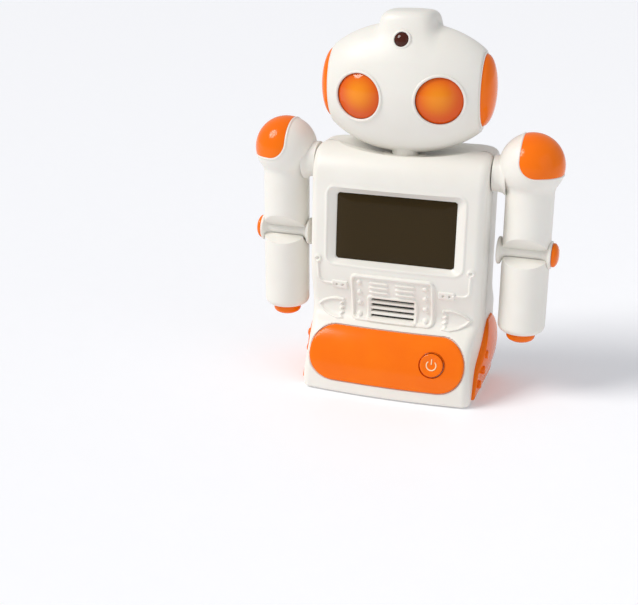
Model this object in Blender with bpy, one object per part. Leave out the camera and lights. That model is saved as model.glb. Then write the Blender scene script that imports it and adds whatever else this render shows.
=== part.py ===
"""Tabletop humanoid learning robot: a legless torso with a screen and a base, a head that turns,
and two arms that swing at the shoulder and bend at the elbow.

Sizes are in millimetres and become metres where a vertex is made. +Z is up, the robot faces -Y,
and "left" is the robot's own left hand, at +X. The origin is on the table under the middle of the base.
"""

import math

import bmesh
import bpy
from mathutils import Matrix, Vector

MM = 0.001
GAP = 0.3  # clearance between neighbouring pieces
WALL = 2.2  # moulded wall thickness

# Driving dimensions of the torso
HALF_WIDTH = 56.5
FLOOR_Z = 0.8  # underside of the base, standing on its feet
FOOT_RADIUS = 5.0
TOP_Z = 158.0
AXIS_Y = 3.0  # neck and shoulders share this plane, where the torso shells meet
FRONT_BOW = 3.4  # how far the front face falls back from its middle to its edges
REAR_Y = 39.9
TOP_RADIUS_FRONT = 22.0
TOP_RADIUS_SIDE = 6.0
TOP_RADIUS_REAR = 8.0
CORNER_FRONT = 6.0
CORNER_REAR = 9.0
FRONT_LINE = [(0, -38.6), (12, -39), (22, -37.6), (31, -34), (38, -29.5), (43, -24.6), (46.5, -20.2),
              (50, -18), (55, -17.6), (62, -19), (70, -20.9), (78, -22.1), (86, -22.3), (132, -20.4)]
REAR_LINE = [(0, REAR_Y), (30, REAR_Y), (50, REAR_Y), (54.5, 38.4), (59, 35), (64, 32), (71, 30.5),
             (158, 30.5)]
DISH_RADIUS = 172.0
DISH_BOTTOM_Z = 152.4

# Screen
SCREEN_HALF = 39.0
SCREEN_LOW = (-18.0, 86.0)  # (y, z) of the lower edge of the glass
SCREEN_HIGH = (-15.2, 129.1)
BEZEL_HALF = 44.3
BEZEL_LOW_Z = 83.3
BEZEL_HIGH_Z = 132.9

# Speaker grille
GRILLE_HALF = 27.5
GRILLE_LOW_Z = 47.4
GRILLE_HIGH_Z = 78.4
SLOT_HALF = 14.0
SLOT_HEIGHT = 1.6
SLOTS_Z = [49.6 + 3.8 * i for i in range(4)]

# Base panel and power button
PANEL_HALF = 52.0
PANEL_Z = 26.0
PANEL_HEIGHT = 35.0
PANEL_TILT = math.radians(15)
BUTTON_X = 31.0
BUTTON_Z = 27.2
BUTTON_RADIUS = 7.6
BUTTON_TRAVEL = 1.2

# Head
HEAD_Y = 6.0
HEAD_Z = 195.0
HEAD_AXES = (60.0, 28.0, 39.5)
EAR_X = 47.4
EAR_AXES = (7.6, 15.8, 22.2)
EYE_X = 25.3
EYE_Z = 190.7
EYE_RADIUS = 14.2
EYE_RIM_Y = -13.4
WINDOW_Z = 225.5
WINDOW_RADIUS = 4.3
WINDOW_TILT = math.radians(18)
NECK_RADIUS = 8.6
COLLAR_RADIUS = 14.2
COLLAR_Z = (150.8, 155.2)

# Arms
ARM_X = 80.0
SHOULDER_Z = 151.5
SHOULDER_RADIUS = 20.2
ARM_RADIUS = 15.0
HUB_Z = 145.0
HUB_RADIUS = 11.5
ELBOW_Z = 95.8
BARREL_RADIUS = 4.5
ELBOW_DISC_RADIUS = 8.8
ELBOW_INNER_X = 62.2
ELBOW_OUTER_X = 96.2
NOTCH_UP = math.radians(40)
NOTCH_DOWN = math.radians(21)
HAND_Z = 43.0
HAND_RADIUS = 9.2
TIP_Z = 36.5

# Power
CELL_RADIUS = 7.25
CELL_LENGTH = 50.5
CELL_PITCH = 15.2
CELL_Z = 13.6
CELL_Y = 28.7
DOOR_LOW_Z = 4.0
DOOR_HIGH_Z = 58.0
DOOR_HALF = 33.6
DOOR_SCREW_Z = 55.2

LEFT = 1
RIGHT = -1
SIDES = {"left": LEFT, "right": RIGHT}


# ---------------------------------------------------------------- shapes

def clear_scene():
    for obj in list(bpy.data.objects):
        bpy.data.objects.remove(obj, do_unlink=True)


def add_mesh(name, bm):
    bmesh.ops.remove_doubles(bm, verts=bm.verts, dist=1e-7)
    bmesh.ops.recalc_face_normals(bm, faces=bm.faces)
    mesh = bpy.data.meshes.new(name)
    bm.to_mesh(mesh)
    bm.free()
    obj = bpy.data.objects.new(name, mesh)
    bpy.context.scene.collection.objects.link(obj)
    return obj


def loft(name, rings):
    """A closed solid through rings of equal length, capped at both ends."""
    bm = bmesh.new()
    rows = [[bm.verts.new(Vector(p) * MM) for p in ring] for ring in rings]
    count = len(rows[0])
    for low, high in zip(rows, rows[1:]):
        for i in range(count):
            j = (i + 1) % count
            bm.faces.new((low[i], low[j], high[j], high[i]))
    bm.faces.new(rows[0][::-1])
    bm.faces.new(rows[-1])
    return add_mesh(name, bm)


def prism(name, outline, axis, low, high):
    """A 2-D outline extruded along x, y or z. The outline's pairs are the other two axes in order."""
    def place(u, v, w):
        return {"x": (w, u, v), "y": (u, w, v), "z": (u, v, w)}[axis]
    return loft(name, [[place(u, v, w) for u, v in outline] for w in (low, high)])


def box(name, low, high):
    outline = [(low[0], low[1]), (high[0], low[1]), (high[0], high[1]), (low[0], high[1])]
    return prism(name, outline, "z", low[2], high[2])


def rounded_rectangle(half_width, half_height, radius, centre=(0, 0), steps=4):
    points = []
    for corner, (sx, sy) in enumerate([(1, 1), (-1, 1), (-1, -1), (1, -1)]):
        for i in range(steps + 1):
            turn = math.pi / 2 * (corner + i / steps)
            points.append((centre[0] + sx * (half_width - radius) + radius * math.cos(turn),
                           centre[1] + sy * (half_height - radius) + radius * math.sin(turn)))
    return points


def turned(name, profile, centre, axis=(0, 0, 1), segments=24):
    """A profile of (radius, height) pairs turned about an axis through centre. Its ends lie on the axis."""
    bm = bmesh.new()
    rows = []
    for radius, height in profile:
        steps = segments if radius > 1e-6 else 1
        angles = [math.tau * i / segments for i in range(steps)]
        rows.append([bm.verts.new((radius * math.cos(a), radius * math.sin(a), height)) for a in angles])
    for low, high in zip(rows, rows[1:]):
        for i in range(segments):
            j = (i + 1) % segments
            corners = [low[i % len(low)], low[j % len(low)], high[j % len(high)], high[i % len(high)]]
            bm.faces.new(list(dict.fromkeys(corners)))
    turn = Vector((0, 0, 1)).rotation_difference(Vector(axis)).to_matrix().to_4x4()
    bm.transform(Matrix.Scale(MM, 4) @ Matrix.Translation(centre) @ turn)
    return add_mesh(name, bm)


def ring(name, inner, outer, low, high, centre, axis=(0, 0, 1), segments=24):
    """A plain ring: the profile is closed on itself away from the axis."""
    bm = bmesh.new()
    profile = [(inner, low), (outer, low), (outer, high), (inner, high)]
    rows = [[bm.verts.new((r * math.cos(math.tau * i / segments), r * math.sin(math.tau * i / segments), h))
             for i in range(segments)] for r, h in profile]
    for low_row, high_row in zip(rows, rows[1:] + rows[:1]):
        for i in range(segments):
            j = (i + 1) % segments
            bm.faces.new((low_row[i], low_row[j], high_row[j], high_row[i]))
    turn = Vector((0, 0, 1)).rotation_difference(Vector(axis)).to_matrix().to_4x4()
    bm.transform(Matrix.Scale(MM, 4) @ Matrix.Translation(centre) @ turn)
    return add_mesh(name, bm)


def cylinder(name, radius, low, high, centre, axis=(0, 0, 1), segments=24):
    return turned(name, [(0, low), (radius, low), (radius, high), (0, high)], centre, axis, segments)


def ellipsoid(name, axes, centre, segments=32, rows=16):
    profile = [(math.sin(math.pi * i / rows), -math.cos(math.pi * i / rows)) for i in range(rows + 1)]
    obj = turned(name, profile, (0, 0, 0), segments=segments)
    obj.data.transform(Matrix.Translation(Vector(centre) * MM) @ Matrix.Diagonal((*axes, 1)))
    return obj


def merge_slivers(mesh):
    bm = bmesh.new()
    bm.from_mesh(mesh)
    bmesh.ops.remove_doubles(bm, verts=bm.verts, dist=0.002 * MM)
    bmesh.ops.dissolve_degenerate(bm, edges=bm.edges, dist=0.001 * MM)
    bm.to_mesh(mesh)
    bm.free()


def boolean(target, others, operation):
    for other in others:
        modifier = target.modifiers.new("cut", "BOOLEAN")
        modifier.operation = operation
        modifier.solver = "EXACT"
        modifier.object = other
        graph = bpy.context.evaluated_depsgraph_get()
        result = bpy.data.meshes.new_from_object(target.evaluated_get(graph))
        target.modifiers.clear()
        target.data = result
        merge_slivers(result)
        bpy.data.objects.remove(other, do_unlink=True)
    return target


def cut(target, *others):
    return boolean(target, others, "DIFFERENCE")


def join(target, *others):
    return boolean(target, others, "UNION")


def keep(target, *others):
    return boolean(target, others, "INTERSECT")


def rename(obj, name):
    obj.name = name
    obj.data.name = name
    return obj


# ---------------------------------------------------------------- materials

PALETTE = {
    "shell": ((0.83, 0.80, 0.75), 0.38, 0.0),
    "orange": ((0.95, 0.21, 0.01), 0.22, 0.0),
    "amber": ((0.85, 0.16, 0.01), 0.08, 0.0),
    "maroon": ((0.05, 0.01, 0.006), 0.1, 0.0),
    "screen": ((0.035, 0.026, 0.012), 0.12, 0.0),
    "board": ((0.02, 0.16, 0.06), 0.5, 0.0),
    "black": ((0.02, 0.02, 0.02), 0.55, 0.0),
    "steel": ((0.6, 0.6, 0.62), 0.3, 1.0),
    "cell": ((0.06, 0.06, 0.07), 0.35, 0.3),
}


def make_materials():
    for name, (colour, roughness, metallic) in PALETTE.items():
        material = bpy.data.materials.new(name)
        material.use_nodes = True
        shader = material.node_tree.nodes["Principled BSDF"]
        shader.inputs["Base Color"].default_value = (*colour, 1)
        shader.inputs["Roughness"].default_value = roughness
        shader.inputs["Metallic"].default_value = metallic


def dissolve_flats(mesh):
    bm = bmesh.new()
    bm.from_mesh(mesh)
    bmesh.ops.dissolve_limit(bm, angle_limit=math.radians(0.5), verts=bm.verts, edges=bm.edges)
    bmesh.ops.triangulate(bm, faces=[f for f in bm.faces if len(f.verts) > 4])
    bm.to_mesh(mesh)
    bm.free()


def finish(obj, material, parent=None):
    dissolve_flats(obj.data)
    obj.data.materials.clear()
    obj.data.materials.append(bpy.data.materials[material])
    obj.data.shade_smooth()
    obj.data.set_sharp_from_angle(angle=math.radians(30))
    if parent:
        obj.parent = parent
        obj.matrix_parent_inverse = Matrix.Translation(-parent.location)
    return obj


def pivot(name, place):
    empty = bpy.data.objects.new(name, None)
    empty.location = Vector(place) * MM
    bpy.context.scene.collection.objects.link(empty)
    return empty


# ---------------------------------------------------------------- torso

def along(line, t):
    """A smooth curve through (t, value) pairs."""
    t = min(max(t, line[0][0]), line[-1][0])
    k = next(i for i in range(1, len(line)) if t <= line[i][0])
    (t0, v0), (t1, v1) = line[k - 1], line[k]
    before = line[max(k - 2, 0)]
    after = line[min(k + 1, len(line) - 1)]
    slope0 = (v1 - before[1]) / (t1 - before[0])
    slope1 = (after[1] - v0) / (after[0] - t0)
    s = (t - t0) / (t1 - t0)
    span = t1 - t0
    return ((2 * s**3 - 3 * s**2 + 1) * v0 + (s**3 - 2 * s**2 + s) * slope0 * span
            + (3 * s**2 - 2 * s**3) * v1 + (s**3 - s**2) * slope1 * span)


def top_inset(z, radius):
    """How far a rounded top edge has drawn in at this height."""
    rise = max(0.0, min(z - (TOP_Z - radius), radius))
    return radius - math.sqrt(radius**2 - rise**2)


def torso_ring(z, inset, at_z=None, coarse=False):
    """The plan outline of the torso at height z, drawn in by inset, and placed at height at_z."""
    half = HALF_WIDTH - inset - top_inset(z, TOP_RADIUS_SIDE)
    front = along(FRONT_LINE, min(z, 132)) + inset + top_inset(z, TOP_RADIUS_FRONT)
    rear = min(along(REAR_LINE, z), REAR_Y) - inset - top_inset(z, TOP_RADIUS_REAR)
    right = []
    for step in (0, 0.5, 1) if coarse else (0, 0.33, 0.66, 1):
        x = (half - CORNER_FRONT) * step
        right.append((x, front + FRONT_BOW * (x / HALF_WIDTH) ** 2))
    corner_y = right[-1][1]
    for turn in (45, 90) if coarse else (30, 60, 90):
        a = math.radians(turn)
        right.append((half - CORNER_FRONT * (1 - math.sin(a)), corner_y + CORNER_FRONT * (1 - math.cos(a))))
    for turn in (0, 45, 90) if coarse else (0, 30, 60, 90):
        a = math.radians(turn)
        right.append((half - CORNER_REAR * (1 - math.cos(a)), rear - CORNER_REAR * (1 - math.sin(a))))
    right.append((0, rear))
    left = [(-x, y) for x, y in right[-2:0:-1]]
    height = z if at_z is None else at_z
    return [(x, y, height) for x, y in right + left]


def torso_solid(name, inset=0.0, low=FLOOR_Z, high=TOP_Z):
    """The torso's outer form, or with an inset the hollow inside it."""
    levels = [3, 13, 22, 29.5, 35.5, 40.5, 44.5, 48.5, 54, 61, 71, 86, 134, 143, 149, 153.6, 156.8]
    coarse = inset > 2
    if coarse:
        levels = [14, 27, 37, 44, 51, 60, 74, 136, 148, 155]
    rings = [torso_ring(low, inset + 1.2, None, coarse)]
    for z in levels:
        lift = inset * min(max((z - 120) / 30, 0), 1)
        if low + 1 < z and z + lift < high - 0.4:
            rings.append(torso_ring(z + lift, inset, z, coarse))
    rings.append(torso_ring(high, inset + 0.4, high - inset if inset else high, coarse))
    return loft(name, rings)


def dish():
    """The hollow in the torso's top that the round of the head turns over."""
    steps = 9
    rings = []
    for i in range(steps + 1):
        angle = math.radians(17.5) * i / steps
        z = DISH_BOTTOM_Z + DISH_RADIUS * (1 - math.cos(angle))
        x = DISH_RADIUS * math.sin(angle)
        rings.append((x, z))
    profile = rings + [(0, rings[-1][1])]
    bowl = turned("dish", profile, (0, 0, 0), segments=40)
    bowl.data.transform(Matrix.Translation((0, AXIS_Y * MM, 0)) @ Matrix.Diagonal((1, 0.6, 1, 1)))
    return bowl


def torso_top():
    """Solid floor of the dish, which the collar is clamped in."""
    top = box("top", (-44, -17, 147.5), (44, 28, 170))
    return keep(top, torso_solid("skin", 0.6))


def screw_post_places():
    return [(s * 48.5, z) for s in (LEFT, RIGHT) for z in (58.0, 120.0)]


def stadium(half_width, half_height, steps=8):
    return rounded_rectangle(half_width, half_height, half_height - 0.01, steps=steps)


def panel_prism(name, shrink, near=-60.0, far=-18.0):
    """The base panel's outline, run along its own tilted axis."""
    outline = stadium(PANEL_HALF - shrink, PANEL_HEIGHT / 2 - shrink)
    obj = prism(name, outline, "y", near, far)
    tilt = Matrix.Translation((0, 0, PANEL_Z * MM)) @ Matrix.Translation((0, -36 * MM, 0))
    obj.data.transform(tilt @ Matrix.Rotation(-PANEL_TILT, 4, "X") @ Matrix.Translation((0, 36 * MM, 0)))
    return obj


def panel_axis():
    return Vector((0, -math.cos(PANEL_TILT), math.sin(PANEL_TILT)))


def hub_cut(side, radius):
    return cylinder("hub_cut", radius, 40, 75, (0, AXIS_Y, HUB_Z), (side, 0, 0), 20)


def torso_shell(name):
    shell = cut(torso_solid(name), torso_solid("hollow", WALL, FLOOR_Z + WALL, TOP_Z - 1.2))
    return shell


def screen_point(z, behind=0.0):
    share = (z - SCREEN_LOW[1]) / (SCREEN_HIGH[1] - SCREEN_LOW[1])
    return SCREEN_LOW[0] + share * (SCREEN_HIGH[0] - SCREEN_LOW[0]) + behind


def screen_slab(name, half, low, high, near, far):
    """A slab parallel to the tilted glass."""
    outline = [(screen_point(low, near), low), (screen_point(low, far), low),
               (screen_point(high, far), high), (screen_point(high, near), high)]
    return prism(name, outline, "x", -half, half)


def front_shell():
    shell = torso_shell("front_shell")
    shell = join(shell, torso_top())
    bezel = keep(screen_slab("bezel", BEZEL_HALF + 2.5, BEZEL_LOW_Z - 2.5, BEZEL_HIGH_Z + 2.5, -12, -GAP),
                 torso_solid("skin", 0.6))
    shell = join(shell, bezel)
    frame_skin = cut(torso_solid("frame_skin", -0.9), torso_solid("frame_core", 0.8))
    frame = keep(prism("frame", rounded_rectangle(GRILLE_HALF, (GRILLE_HIGH_Z - GRILLE_LOW_Z) / 2, 2.2,
                                                  (0, (GRILLE_HIGH_Z + GRILLE_LOW_Z) / 2)), "y", -40, 0),
                 frame_skin)
    shell = join(shell, frame)
    for x, z in screw_post_places():
        start = along(FRONT_LINE, z) + 4.2
        shell = join(shell, cylinder("post", 3.4, 0, AXIS_Y - start, (x, start, z), (0, 1, 0), 12))
        shell = cut(shell, cylinder("pilot", 1.0, -9, 5, (x, AXIS_Y, z), (0, 1, 0), 8))
    window = loft("window", [
        [(x, -30, z) for x, z in rounded_rectangle(SCREEN_HALF + 7, 27.2, 7, (0, 108.1))],
        [(x, screen_point(z, -GAP - 1), z)
         for x, z in rounded_rectangle(SCREEN_HALF, 21.55, 2.0, (0, 107.55))],
        [(x, screen_point(z, 3), z)
         for x, z in rounded_rectangle(SCREEN_HALF, 21.55, 2.0, (0, 107.55))]])
    pocket = screen_slab("pocket", SCREEN_HALF + 3 + GAP, SCREEN_LOW[1] - 2.8, SCREEN_HIGH[1] + 2.8, -GAP, 8)
    shell = cut(shell, pocket, window, panel_prism("panel_hole", 0, far=-18))
    for z in SLOTS_Z:
        slot = box("slot", (-SLOT_HALF, -30, z - SLOT_HEIGHT / 2), (SLOT_HALF, -14, z + SLOT_HEIGHT / 2))
        shell = cut(shell, slot)
    shell = cut_common_openings(shell)
    behind = box("behind", (-70, AXIS_Y - GAP / 2, -10), (70, 60, 180))
    return finish(cut(shell, behind), "shell")


def cut_common_openings(shell):
    """Dish, neck hole, collar seat and shoulder holes, which both torso shells share."""
    shell = cut(shell, dish())
    shell = cut(shell, cylinder("neck", NECK_RADIUS + GAP, 140, 170, (0, AXIS_Y, 0), segments=20))
    seat = cylinder("seat", COLLAR_RADIUS + 0.5, COLLAR_Z[0] - GAP, 170, (0, AXIS_Y, 0), segments=24)
    shell = cut(shell, seat)
    for side in SIDES.values():
        shell = cut(shell, hub_cut(side, 7.0))
    for _, place in foot_places():
        shell = cut(shell, cylinder("foot_recess", FOOT_RADIUS + GAP, -1, 1.7, place, segments=12))
    return shell


def battery_box():
    low_z = CELL_Z - CELL_RADIUS - 1.2
    high_z = CELL_Z + 2 * CELL_PITCH + CELL_RADIUS + 1.2
    return (-30.6, 20.6, low_z), (30.6, REAR_Y + 2, high_z)


def rear_shell():
    shell = torso_shell("rear_shell")
    shell = join(shell, torso_top())
    low, high = battery_box()
    housing = rounded_rectangle(36, 28.6, 3, (0, 31.2), 2)
    shell = join(shell, prism("housing", housing, "y", low[1] - 1.8, REAR_Y))
    for x, z in screw_post_places():
        rear = along(REAR_LINE, z)
        shell = join(shell, cylinder("post", 4.4, 0, rear - 1.0 - AXIS_Y, (x, AXIS_Y, z), (0, 1, 0), 12))
        shell = cut(shell, cylinder("bore", 3.3, 5, 60, (x, AXIS_Y + 5, z), (0, 1, 0), 12))
        shell = cut(shell, cylinder("shank", 1.7, -2, 12, (x, AXIS_Y, z), (0, 1, 0), 8))
    shell = cut(shell, box("cells", low, high))
    seat = rounded_rectangle(DOOR_HALF, (DOOR_HIGH_Z - DOOR_LOW_Z) / 2, 3, (0, (DOOR_HIGH_Z + DOOR_LOW_Z) / 2), 2)
    shell = cut(shell, prism("door_seat", seat, "y", REAR_Y - 2.3, REAR_Y + 9))
    shell = cut(shell, cylinder("door_pilot", 1.0, -9, 5, (0, REAR_Y - 2, DOOR_SCREW_Z), (0, 1, 0), 10))
    shell = cut_common_openings(shell)
    ahead = box("ahead", (-70, -60, -10), (70, AXIS_Y + GAP / 2, 180))
    return finish(cut(shell, ahead), "shell")


def battery_door():
    mid = (DOOR_HIGH_Z + DOOR_LOW_Z) / 2
    outline = rounded_rectangle(DOOR_HALF - GAP, (DOOR_HIGH_Z - DOOR_LOW_Z) / 2 - GAP, 2.7, (0, mid), 2)
    door = prism("battery_door", outline, "y", REAR_Y - 2, REAR_Y)
    for i in range(3):
        z = 14 + 3 * i
        door = cut(door, box("rib", (-12, REAR_Y - 0.7, z), (12, REAR_Y + 1, z + 1.4)))
    door = cut(door, cylinder("head", 2.9, -1.3, 5, (0, REAR_Y, DOOR_SCREW_Z), (0, 1, 0), 16))
    door = cut(door, cylinder("hole", 1.5, -9, 5, (0, REAR_Y, DOOR_SCREW_Z), (0, 1, 0), 10))
    return finish(door, "shell")


def screw(name, place, axis, head_radius=2.6, head=1.1, length=8.0, parent=None):
    """A cross-head screw: axis points out of its head, whose underside is at place."""
    profile = [(0, -length), (0.8, -length), (0.8, 0), (head_radius, 0), (head_radius, head), (0, head)]
    body = turned(name, profile, place, axis, 8)
    return finish(body, "steel", parent)


def power_cells():
    for i in range(3):
        z = CELL_Z + CELL_PITCH * i
        way = 1 if i % 2 else -1
        half = CELL_LENGTH / 2 - 1.2
        profile = [(0, -half), (CELL_RADIUS, -half), (CELL_RADIUS, half), (2.7, half), (2.7, half + 1.2),
                   (0, half + 1.2)]
        finish(turned(f"battery_{i + 1}", profile, (0, CELL_Y, z), (way, 0, 0), 16), "cell")


def contacts():
    for side_name, side in SIDES.items():
        plate = box(f"battery_contact_{side_name}", (-0.3, CELL_Y - 5.5, 8), (0.3, CELL_Y + 5.5, 50))
        for i in range(3):
            z = CELL_Z + CELL_PITCH * i
            profile = [(0, -0.2), (5, -0.2), (2.2, 3.0), (0, 3.0)]
            plate = join(plate, turned("cone", profile, (0, CELL_Y, z), (-side, 0, 0), 10))
        plate.data.transform(Matrix.Translation((side * 29.9 * MM, 0, 0)))
        finish(plate, "steel")


def screen_parts():
    lens = screen_slab("screen_lens", SCREEN_HALF + 3, SCREEN_LOW[1] - 2.5, SCREEN_HIGH[1] + 2.5, 0, 1.2)
    finish(lens, "screen")
    module = screen_slab("lcd_module", SCREEN_HALF + 2, SCREEN_LOW[1] - 2, SCREEN_HIGH[1] + 2, 1.5, 6.0)
    finish(module, "black")
    board = box("main_board", (-42, -7.4, 74), (42, -5.8, 136))
    finish(board, "board")


def speaker():
    cone = [(0, 0), (9, 0), (9, 3.4), (14, 4.6), (14, 5.6), (0, 5.6)]
    finish(turned("speaker", cone, (0, -8.4, 55.3), (0, -1, 0), 20), "black")


def base_panel():
    slab = cut(torso_solid("base_panel", -0.9), torso_solid("core", 1.9, -1))
    slab = keep(slab, panel_prism("outline", GAP + 0.2, far=-18))
    centre = button_centre()
    axis = panel_axis()
    slab = cut(slab, cylinder("button_hole", BUTTON_RADIUS + 0.5, -30, 20, centre, axis, 24))
    return finish(slab, "orange")


def button_centre():
    """Where the button's axis meets the panel's face."""
    y = along(FRONT_LINE, BUTTON_Z) + FRONT_BOW * (BUTTON_X / HALF_WIDTH) ** 2 - 0.9
    return Vector((BUTTON_X, y, BUTTON_Z))


def power_button(parent):
    profile = [(0, -6.2), (8.7, -6.2), (8.7, -5.3), (BUTTON_RADIUS, -5.3), (BUTTON_RADIUS, 0.2),
               (BUTTON_RADIUS - 1, 0.7), (0, 1.0)]
    finish(turned("power_button", profile, button_centre(), panel_axis(), 24), "orange", parent)


def switch_parts():
    axis = panel_axis()
    centre = button_centre() - axis * (6.2 + BUTTON_TRAVEL + GAP + 4.6)
    switch = turned("power_switch", [(0, 0), (4.2, 0), (4.2, 3.2), (1.8, 3.2), (1.8, 4.6), (0, 4.6)],
                    centre, axis, 12)
    finish(switch, "black")
    board = box("switch_board", (-12, -0.8, -8), (12, 0.8, 8))
    place = Matrix.Translation((centre - axis * 1.1) * MM) @ Matrix.Rotation(-PANEL_TILT, 4, "X")
    board.data.transform(place)
    finish(board, "board")


def side_covers():
    """Domed fenders on the sides of the base, each with three studs along its front edge."""
    outline = [(9, 46), (3.5, 42), (-4.5, 34.5), (-15, 23), (-23.5, 12.5), (-28.3, 5.5), (-29.3, 3.6),
               (27, 3.6), (30, 8), (30.5, 34), (27, 43), (22, 46)]
    for side_name, side in SIDES.items():
        start = HALF_WIDTH + GAP
        plate = prism(f"side_cover_{side_name}", outline, "x", start, start + 1.2)
        dome = ellipsoid("dome", (11.6, 46, 26), (49.9, 14, 26), 24, 16)
        dome = keep(dome, prism("span", outline, "x", start, 70))
        cover = join(plate, dome)
        for y, z, top in ((-5, 27, 61.6), (-9.5, 17.8, 60.9), (-15.5, 10, 59.8)):
            stud = [(0, -2.6), (2.5, -2.6), (2.5, -1.1), (1.7, -0.3), (0, 0)]
            cover = join(cover, turned("stud", stud, (top, y, z), (1, 0, 0), 8))
        if side == RIGHT:
            mirror(cover)
        finish(cover, "orange")


def mirror(obj):
    """Turns a left-hand piece into its right-hand twin."""
    obj.data.transform(Matrix.Diagonal((-1, 1, 1, 1)))
    obj.data.flip_normals()


def foot_places():
    places = [("front", -25.0), ("rear", 29.0)]
    return [(f"{end}_{name}", (side * 43, y, 0)) for end, y in places for name, side in SIDES.items()]


def feet():
    for name, place in foot_places():
        finish(cylinder(f"foot_{name}", FOOT_RADIUS, 0, 1.4, place, segments=12), "black")


def neck_collar():
    low, high = COLLAR_Z
    collar = ring("neck_collar", NECK_RADIUS + 0.35, COLLAR_RADIUS, low, high, (0, AXIS_Y, 0), segments=24)
    return finish(collar, "shell")


# ---------------------------------------------------------------- head

def head_form(name, inset=0.0, segments=28, rows=14):
    axes = tuple(a - inset for a in HEAD_AXES)
    form = ellipsoid(name, axes, (0, HEAD_Y, HEAD_Z), segments, rows)
    half = EAR_X - inset
    return keep(form, box("sides", (-half, -60, 120), (half, 80, 260)))


def crest():
    """The block on top of the head that carries the receiver's window."""
    line = [(-16, 217), (-15.6, 220), (-10.4, 236), (-8, 239.4), (-3, 241.3), (6, 242), (16, 240.8), (22, 237),
            (26, 230), (26, 217)]
    rings = []
    for half, drop in ((20.2, 14), (18.2, 6.5), (16.6, 1.6), (14.2, 0)):
        rings.append([(-half, y, z - drop) for y, z in line])
    rings += [[(-x, y, z) for x, y, z in row] for row in reversed(rings)]
    return loft("crest", rings)


def head_shell(name):
    shell = join(head_form(name), crest())
    return cut(shell, head_form("hollow", WALL, 16, 8))


def eye_socket(side, radius, near, far):
    return cylinder("socket", radius, near, far, (side * EYE_X, 0, EYE_Z), (0, 1, 0), 24)


def window_centre():
    return Vector((0, -14.2, WINDOW_Z))


def window_axis():
    return Vector((0, -math.cos(WINDOW_TILT), math.sin(WINDOW_TILT)))


def head_post_places():
    return [(s * 40, HEAD_Z + 11) for s in (LEFT, RIGHT)]


def head_front(parent):
    shell = head_shell("head_front_shell")
    for side in SIDES.values():
        shell = cut(shell, eye_socket(side, EYE_RADIUS + GAP, -60, -5))
    shell = cut(shell, cylinder("window", WINDOW_RADIUS + GAP, -12, 20, window_centre(), window_axis(), 20))
    for x, z in head_post_places():
        post = cylinder("post", 3.0, 0, 24, (x, -18, z), (0, 1, 0), 12)
        shell = join(shell, keep(post, head_form("skin", 0.8)))
        shell = cut(shell, cylinder("pilot", 1.0, -9, 5, (x, HEAD_Y, z), (0, 1, 0), 8))
    shell = cut(shell, neck_hole(), box("behind", (-70, HEAD_Y - GAP / 2, 100), (70, 90, 280)))
    return finish(shell, "shell", parent)


def neck_hole():
    return cylinder("neck", NECK_RADIUS + 0.5, 140, 172, (0, AXIS_Y, 0), segments=20)


def head_rear(parent):
    shell = head_shell("head_rear_shell")
    for x, z in head_post_places():
        post = cylinder("post", 4.2, 0, 40, (x, HEAD_Y - 2, z), (0, 1, 0), 12)
        shell = join(shell, keep(post, head_form("skin", 0.8)))
        shell = cut(shell, cylinder("bore", 3.0, 5, 50, (x, HEAD_Y + 3, z), (0, 1, 0), 12))
        shell = cut(shell, cylinder("shank", 1.4, -2, 12, (x, HEAD_Y, z), (0, 1, 0), 8))
    shell = cut(shell, neck_hole(), box("ahead", (-70, -90, 100), (70, HEAD_Y + GAP / 2, 280)))
    return finish(shell, "shell", parent)


def neck_post(parent):
    """Turns in the collar, with a flange under it and a flange inside the head."""
    profile = [(0, 141.6), (6, 141.6), (6, 143.6), (12, 143.6), (12, 147.0), (NECK_RADIUS, 147.0), (NECK_RADIUS, 165.4),
               (11.5, 166.4), (11.5, 169), (0, 169)]
    return finish(turned("neck_post", profile, (0, AXIS_Y, 0), segments=16), "shell", parent)


def eyes(parent):
    for side_name, side in SIDES.items():
        centre = (side * EYE_X, EYE_RIM_Y, EYE_Z)
        outer = [(EYE_RADIUS, 0), (EYE_RADIUS, 1.5)]
        outer += [(EYE_RADIUS * 0.97 * math.cos(a), 1.5 + 4.6 * math.sin(a))
                  for a in (math.radians(t) for t in (10, 30, 50, 70))] + [(0, 6.1)]
        dome = turned(f"eye_lens_{side_name}", [(0, 0)] + outer, centre, (0, -1, 0), 20)
        hollow = [(0, -1)] + [(12.4, -1), (12.4, 1), (10.5, 2.6), (7, 3.8), (0, 4.5)]
        dome = cut(dome, turned("hollow", hollow, centre, (0, -1, 0), 12))
        finish(dome, "amber", parent)
        cup = turned(f"eye_reflector_{side_name}", [(0, -5.4), (6, -5.4), (13.6, -GAP - 0.9), (13.6, -GAP), (12.2, -GAP),
                                                    (4.6, -4.2), (0, -4.2)], centre, (0, -1, 0), 16)
        finish(cup, "shell", parent)
        led = turned(f"eye_led_{side_name}", [(0, -3.9), (2.4, -3.9), (2.4, -1.4), (1.6, -0.3), (0, 0)], centre, (0, -1, 0), 8)
        finish(led, "amber", parent)
    board = box("head_board", (-36, -6.2, 184), (36, -4.8, 200))
    finish(board, "board", parent)


def ears(parent):
    for side_name, side in SIDES.items():
        place = (EAR_X + GAP, HEAD_Y, HEAD_Z)
        cap = ellipsoid(f"ear_cap_{side_name}", EAR_AXES, place, 16, 10)
        cap = cut(cap, ellipsoid("hollow", (5.6, 13.6, 20), place, 10, 6),
                  box("inner", (20, -60, 120), (EAR_X + GAP, 80, 260)))
        if side == RIGHT:
            mirror(cap)
        finish(cap, "orange", parent)


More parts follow.
